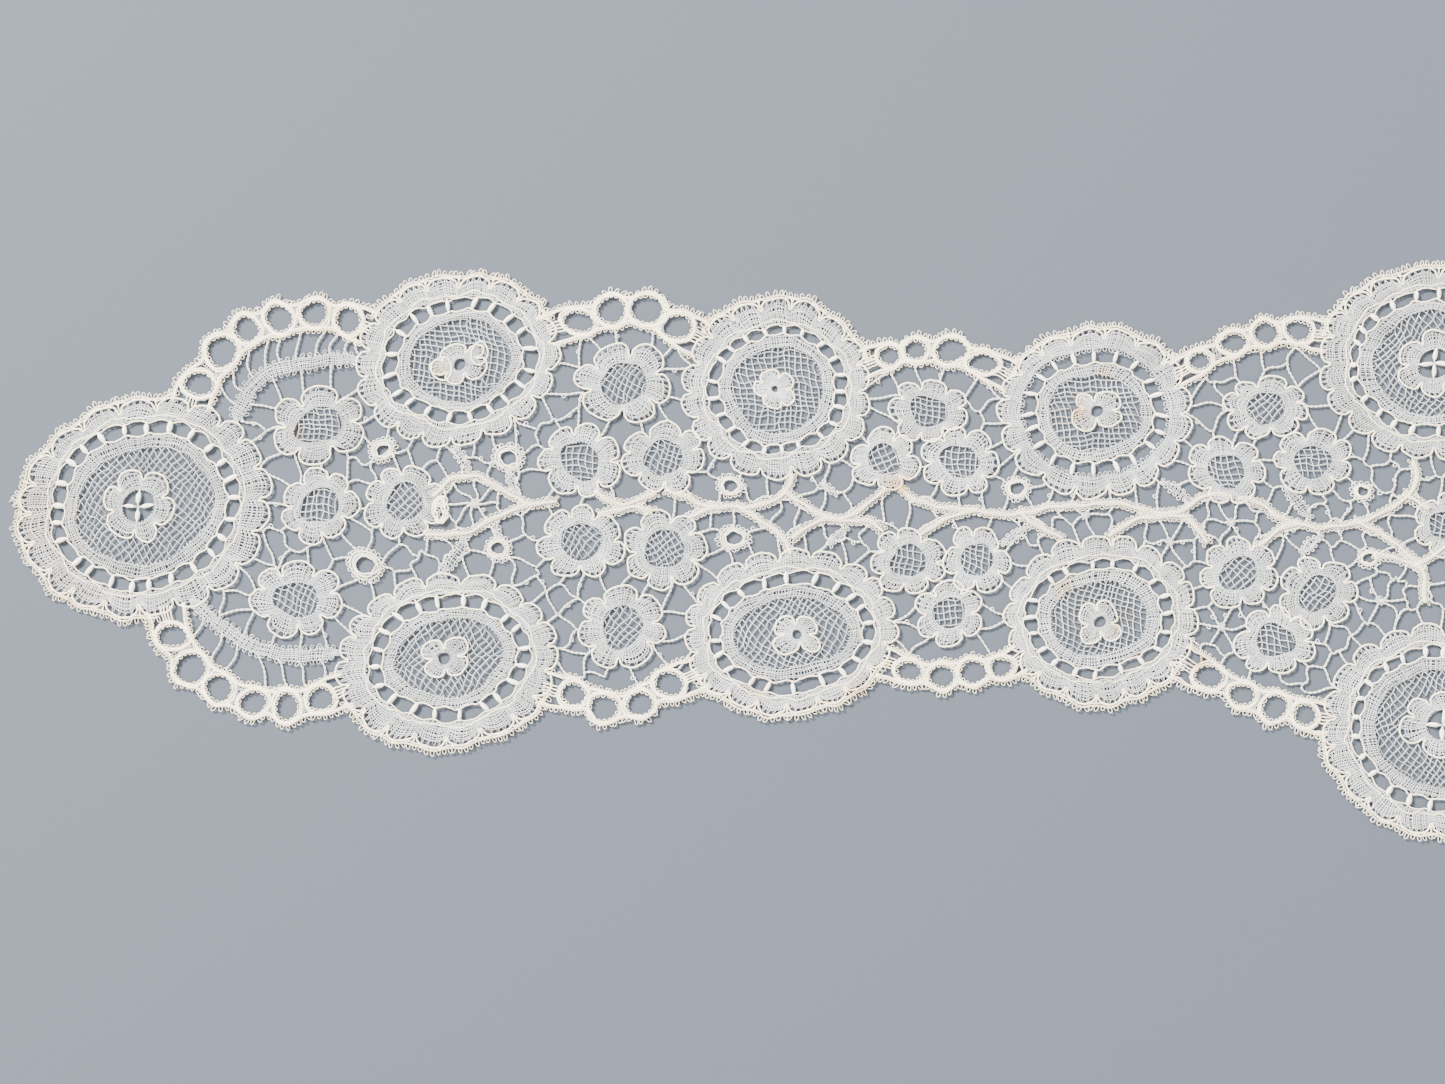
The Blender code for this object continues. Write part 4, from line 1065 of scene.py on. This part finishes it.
def between(middles, around=30):
    """The lines that lie halfway between neighbouring middles, from crossing to crossing."""
    low, high = middles.min(axis=0) - around, middles.max(axis=0) + around
    points = [Vector(p) for p in (*middles, low, (high[0], low[1]), high, (low[0], high[1]))]
    spots, _, triangles, *_ = geometry.delaunay_2d_cdt(points, [], [], 0, 1e-4)
    owners, crossings = {}, []
    for number, corners in enumerate(triangles):
        a, b, c = (np.array(spots[i]) for i in corners)
        doubled = 2 * ((b - a)[0] * (c - a)[1] - (b - a)[1] * (c - a)[0])
        ab, ac = (b - a) @ (b - a), (c - a) @ (c - a)
        x = ((c - a)[1] * ab - (b - a)[1] * ac) / doubled
        y = ((b - a)[0] * ac - (c - a)[0] * ab) / doubled
        crossings.append(a + (x, y))
        for i in range(3):
            owners.setdefault(frozenset((corners[i], corners[i - 1])), []).append(number)
    return [(crossings[p[0]], crossings[p[1]]) for p in owners.values() if len(p) == 2]


def ground_plait(lace, start, end, shortest=3, bows=(0.38, 0.24), room=-0.1, picoted=12, picoted_share=0.2):
    """A plait that bows a little between two crossings, wherever the ground has room."""
    line = spaced([start, end], 0.2)
    shares = np.linspace(0, 1, len(line))
    bow = lace.random.normal(0, bows[0]) * np.sin(math.pi * shares)
    bow += lace.random.normal(0, bows[1]) * np.sin(2 * math.pi * shares)
    line = line + sideways(line) * bow[:, None]
    for first, last in runs(ground_room(line, notched=True) > room):
        if last - first > shortest:
            stretch = line[first:last]
            plait(lace, stretch)
            if last - first > picoted and lace.random.random() < picoted_share:
                middle = len(stretch) // 2
                out = sideways(stretch)[middle][None] * lace.random.choice((-1, 1))
                picots(lace, "plait", stretch[middle][None], out)


def make_ground(shortest=0.3, longest=60):
    lace = Threads("plait_ground")
    for start, end in between(mesh_middles()):
        if shortest < np.linalg.norm(end - start) < longest:
            ground_plait(lace, start, end)
    for arc in ARC_BANDS:
        legs(lace, arc)
    rows = row_angles(1, 14)
    for s in SPIDERS:
        hub, rim = (ellipse(s.x, s.y, radius, radius, rows) for radius in SPIDER_CLOTH)
        cloth(lace, "spider", hub, rim)
    for bar in BARS:
        line = spaced(bar, ROW)
        half = sideways(line) * tapering(len(line), BAR_HALF, run=5, narrow=0.3)
        cloth(lace, "bar", line - half, line + half, closed=False)
        picot_sides(lace, "bar", line, half)
    return lace.make("plait_ground", "plait_ground")


def make_heading(cord_out=0.1):
    lace = Threads("heading")
    rows = np.arange(*HEADING_Y, ROW)
    left, right = (np.column_stack((np.full(len(rows), x), rows)) for x in HEADING_X)
    cloth(lace, "heading", left, right, closed=False, height=HEADING_HEIGHT)
    for x in (HEADING_X[0] - cord_out, HEADING_X[1]):
        gimp(lace, "heading", spaced([(x, y) for y in HEADING_Y], 0.8), closed=False)
    return lace.make("cloth_stitch", "heading")


def give(tree, socket, value):
    """Sets a node's input, or joins it to another node's output."""
    if isinstance(value, bpy.types.NodeSocket):
        tree.links.new(value, socket)
    else:
        socket.default_value = value


def node(tree, kind, *inputs, **values):
    """A shader node with its first inputs, then its properties and its other inputs by name."""
    made = tree.nodes.new(kind)
    for socket, value in zip(made.inputs, inputs):
        give(tree, socket, value)
    for key, value in values.items():
        if hasattr(made, key):
            setattr(made, key, value)
        else:
            give(tree, made.inputs[key.replace("_", " ")], value)
    return made


def sums(tree, operation, *inputs):
    return node(tree, "ShaderNodeMath", *inputs, operation=operation).outputs[0]


def mixed(tree, share, first, second):
    made = node(tree, "ShaderNodeMix", share, data_type="RGBA")
    give(tree, made.inputs[6], first)
    give(tree, made.inputs[7], second)
    return made.outputs[2]


def new_material(name, surface):
    """A material, its node tree and its shader with these values."""
    material = bpy.data.materials.new(name)
    material.use_nodes = True
    shader = material.node_tree.nodes["Principled BSDF"]
    for key, value in surface.items():
        shader.inputs[key].default_value = value
    return material, material.node_tree, shader


def thread_material(look):
    """Cotton or linen thread: two plies twisted together, fine fibres, uneven tone and yellowed places."""
    material, tree, shader = new_material(look.name, THREAD_SURFACE)
    add, calculate = partial(node, tree), partial(sums, tree)
    place = add("ShaderNodeTexCoord").outputs["Object"]
    patches, mottle, fibres = (
        add("ShaderNodeTexNoise", place, Scale=scale, Detail=detail).outputs["Fac"]
        for scale, detail in ((140.0, 3.0), (1500.0, 2.0), (9000.0, 2.0)))
    tone, stain, ply = (add("ShaderNodeAttribute", attribute_name=name) for name in ("tone", "stain", "ply"))

    sum_tone = calculate("ADD", patches, tone.outputs["Fac"])
    deep = add("ShaderNodeMapRange", sum_tone, From_Min=0.6, From_Max=1.4)
    base = mixed(tree, deep.outputs["Result"], look.light, look.deep)
    blotch = add("ShaderNodeMapRange", mottle, From_Min=0.35, From_Max=0.6, To_Min=0.3)
    rust = calculate("MULTIPLY", stain.outputs["Fac"], blotch.outputs["Result"])
    give(tree, shader.inputs["Base Color"], mixed(tree, rust, base, RUST))

    parts = add("ShaderNodeSeparateXYZ", ply.outputs["Vector"]).outputs
    two_plies = calculate("MULTIPLY", calculate("ARCTAN2", parts["Y"], parts["X"]), 2.0)
    twist = calculate("SINE", calculate("MULTIPLY_ADD", parts["Z"], look.twist, two_plies))
    height = calculate("MULTIPLY_ADD", twist, 0.5, fibres)
    bump = add("ShaderNodeBump", Height=height, Strength=0.6, Distance=0.00004)
    give(tree, shader.inputs["Normal"], bump.outputs["Normal"])
    return material


def make_table(half=4.0, drop=0.0002):
    """The plain pale table top that the lace lies on."""
    mesh = bpy.data.meshes.new("table")
    corners = [(x * half, y * half, 0) for x, y in ((-1, -1), (1, -1), (1, 1), (-1, 1))]
    mesh.from_pydata(corners, [], [range(4)])
    table = add_object("table", mesh)
    table.location.z = -drop
    material, tree, shader = new_material("table_top", TABLE_SURFACE)
    noise = node(tree, "ShaderNodeTexNoise", Scale=6.0, Detail=4.0)
    give(tree, shader.inputs["Base Color"], mixed(tree, noise.outputs["Fac"], *TABLE_TONES))
    mesh.materials.append(material)


def make_camera():
    data = bpy.data.cameras.new("camera")
    data.sensor_width = SENSOR
    data.lens = SENSOR * CAMERA_HEIGHT / (PHOTO_WIDTH * MM)
    camera = add_object("camera", data)
    camera.location = (*(np.array(PHOTO_MIDDLE) - MIDDLE) * MM, CAMERA_HEIGHT)
    bpy.context.scene.camera = camera


def make_lights():
    for lamp in LAMPS:
        data = bpy.data.lights.new(lamp.name, "AREA")
        data.size, data.energy = lamp.size, lamp.watts
        light = add_object(lamp.name, data)
        light.location = lamp.place
        light.rotation_euler = (-Vector(lamp.place)).to_track_quat("-Z", "Y").to_euler()
    world = bpy.data.worlds.new("studio")
    world.use_nodes = True
    sky = world.node_tree.nodes["Background"].inputs
    sky["Color"].default_value, sky["Strength"].default_value = WORLD_TINT, WORLD_STRENGTH
    bpy.context.scene.world = world


MATERIALS = {finish: thread_material(look) for finish, look in LOOKS.items()}
GROUND_EDGE = ground_edge()
make_table()
make_camera()
make_lights()

joined = [make_edge_band(number, band) for number, band in enumerate(EDGE_BANDS, 1)]
joined += [make_arc_band(number, arc) for number, arc in enumerate(ARC_BANDS, 1)]
joined += [make_small_ring(number, r) for number, r in enumerate(SMALL_RINGS, 1)]
joined += [make_stem(number, branches) for number, branches in enumerate(STEMS, 1)]
joined += [make_ground(), make_heading()]
for number, m in enumerate(MEDALLIONS, 1):
    make_medallion(number, m)
for number, f in enumerate(FLOWERS, 1):
    make_flower(number, f)
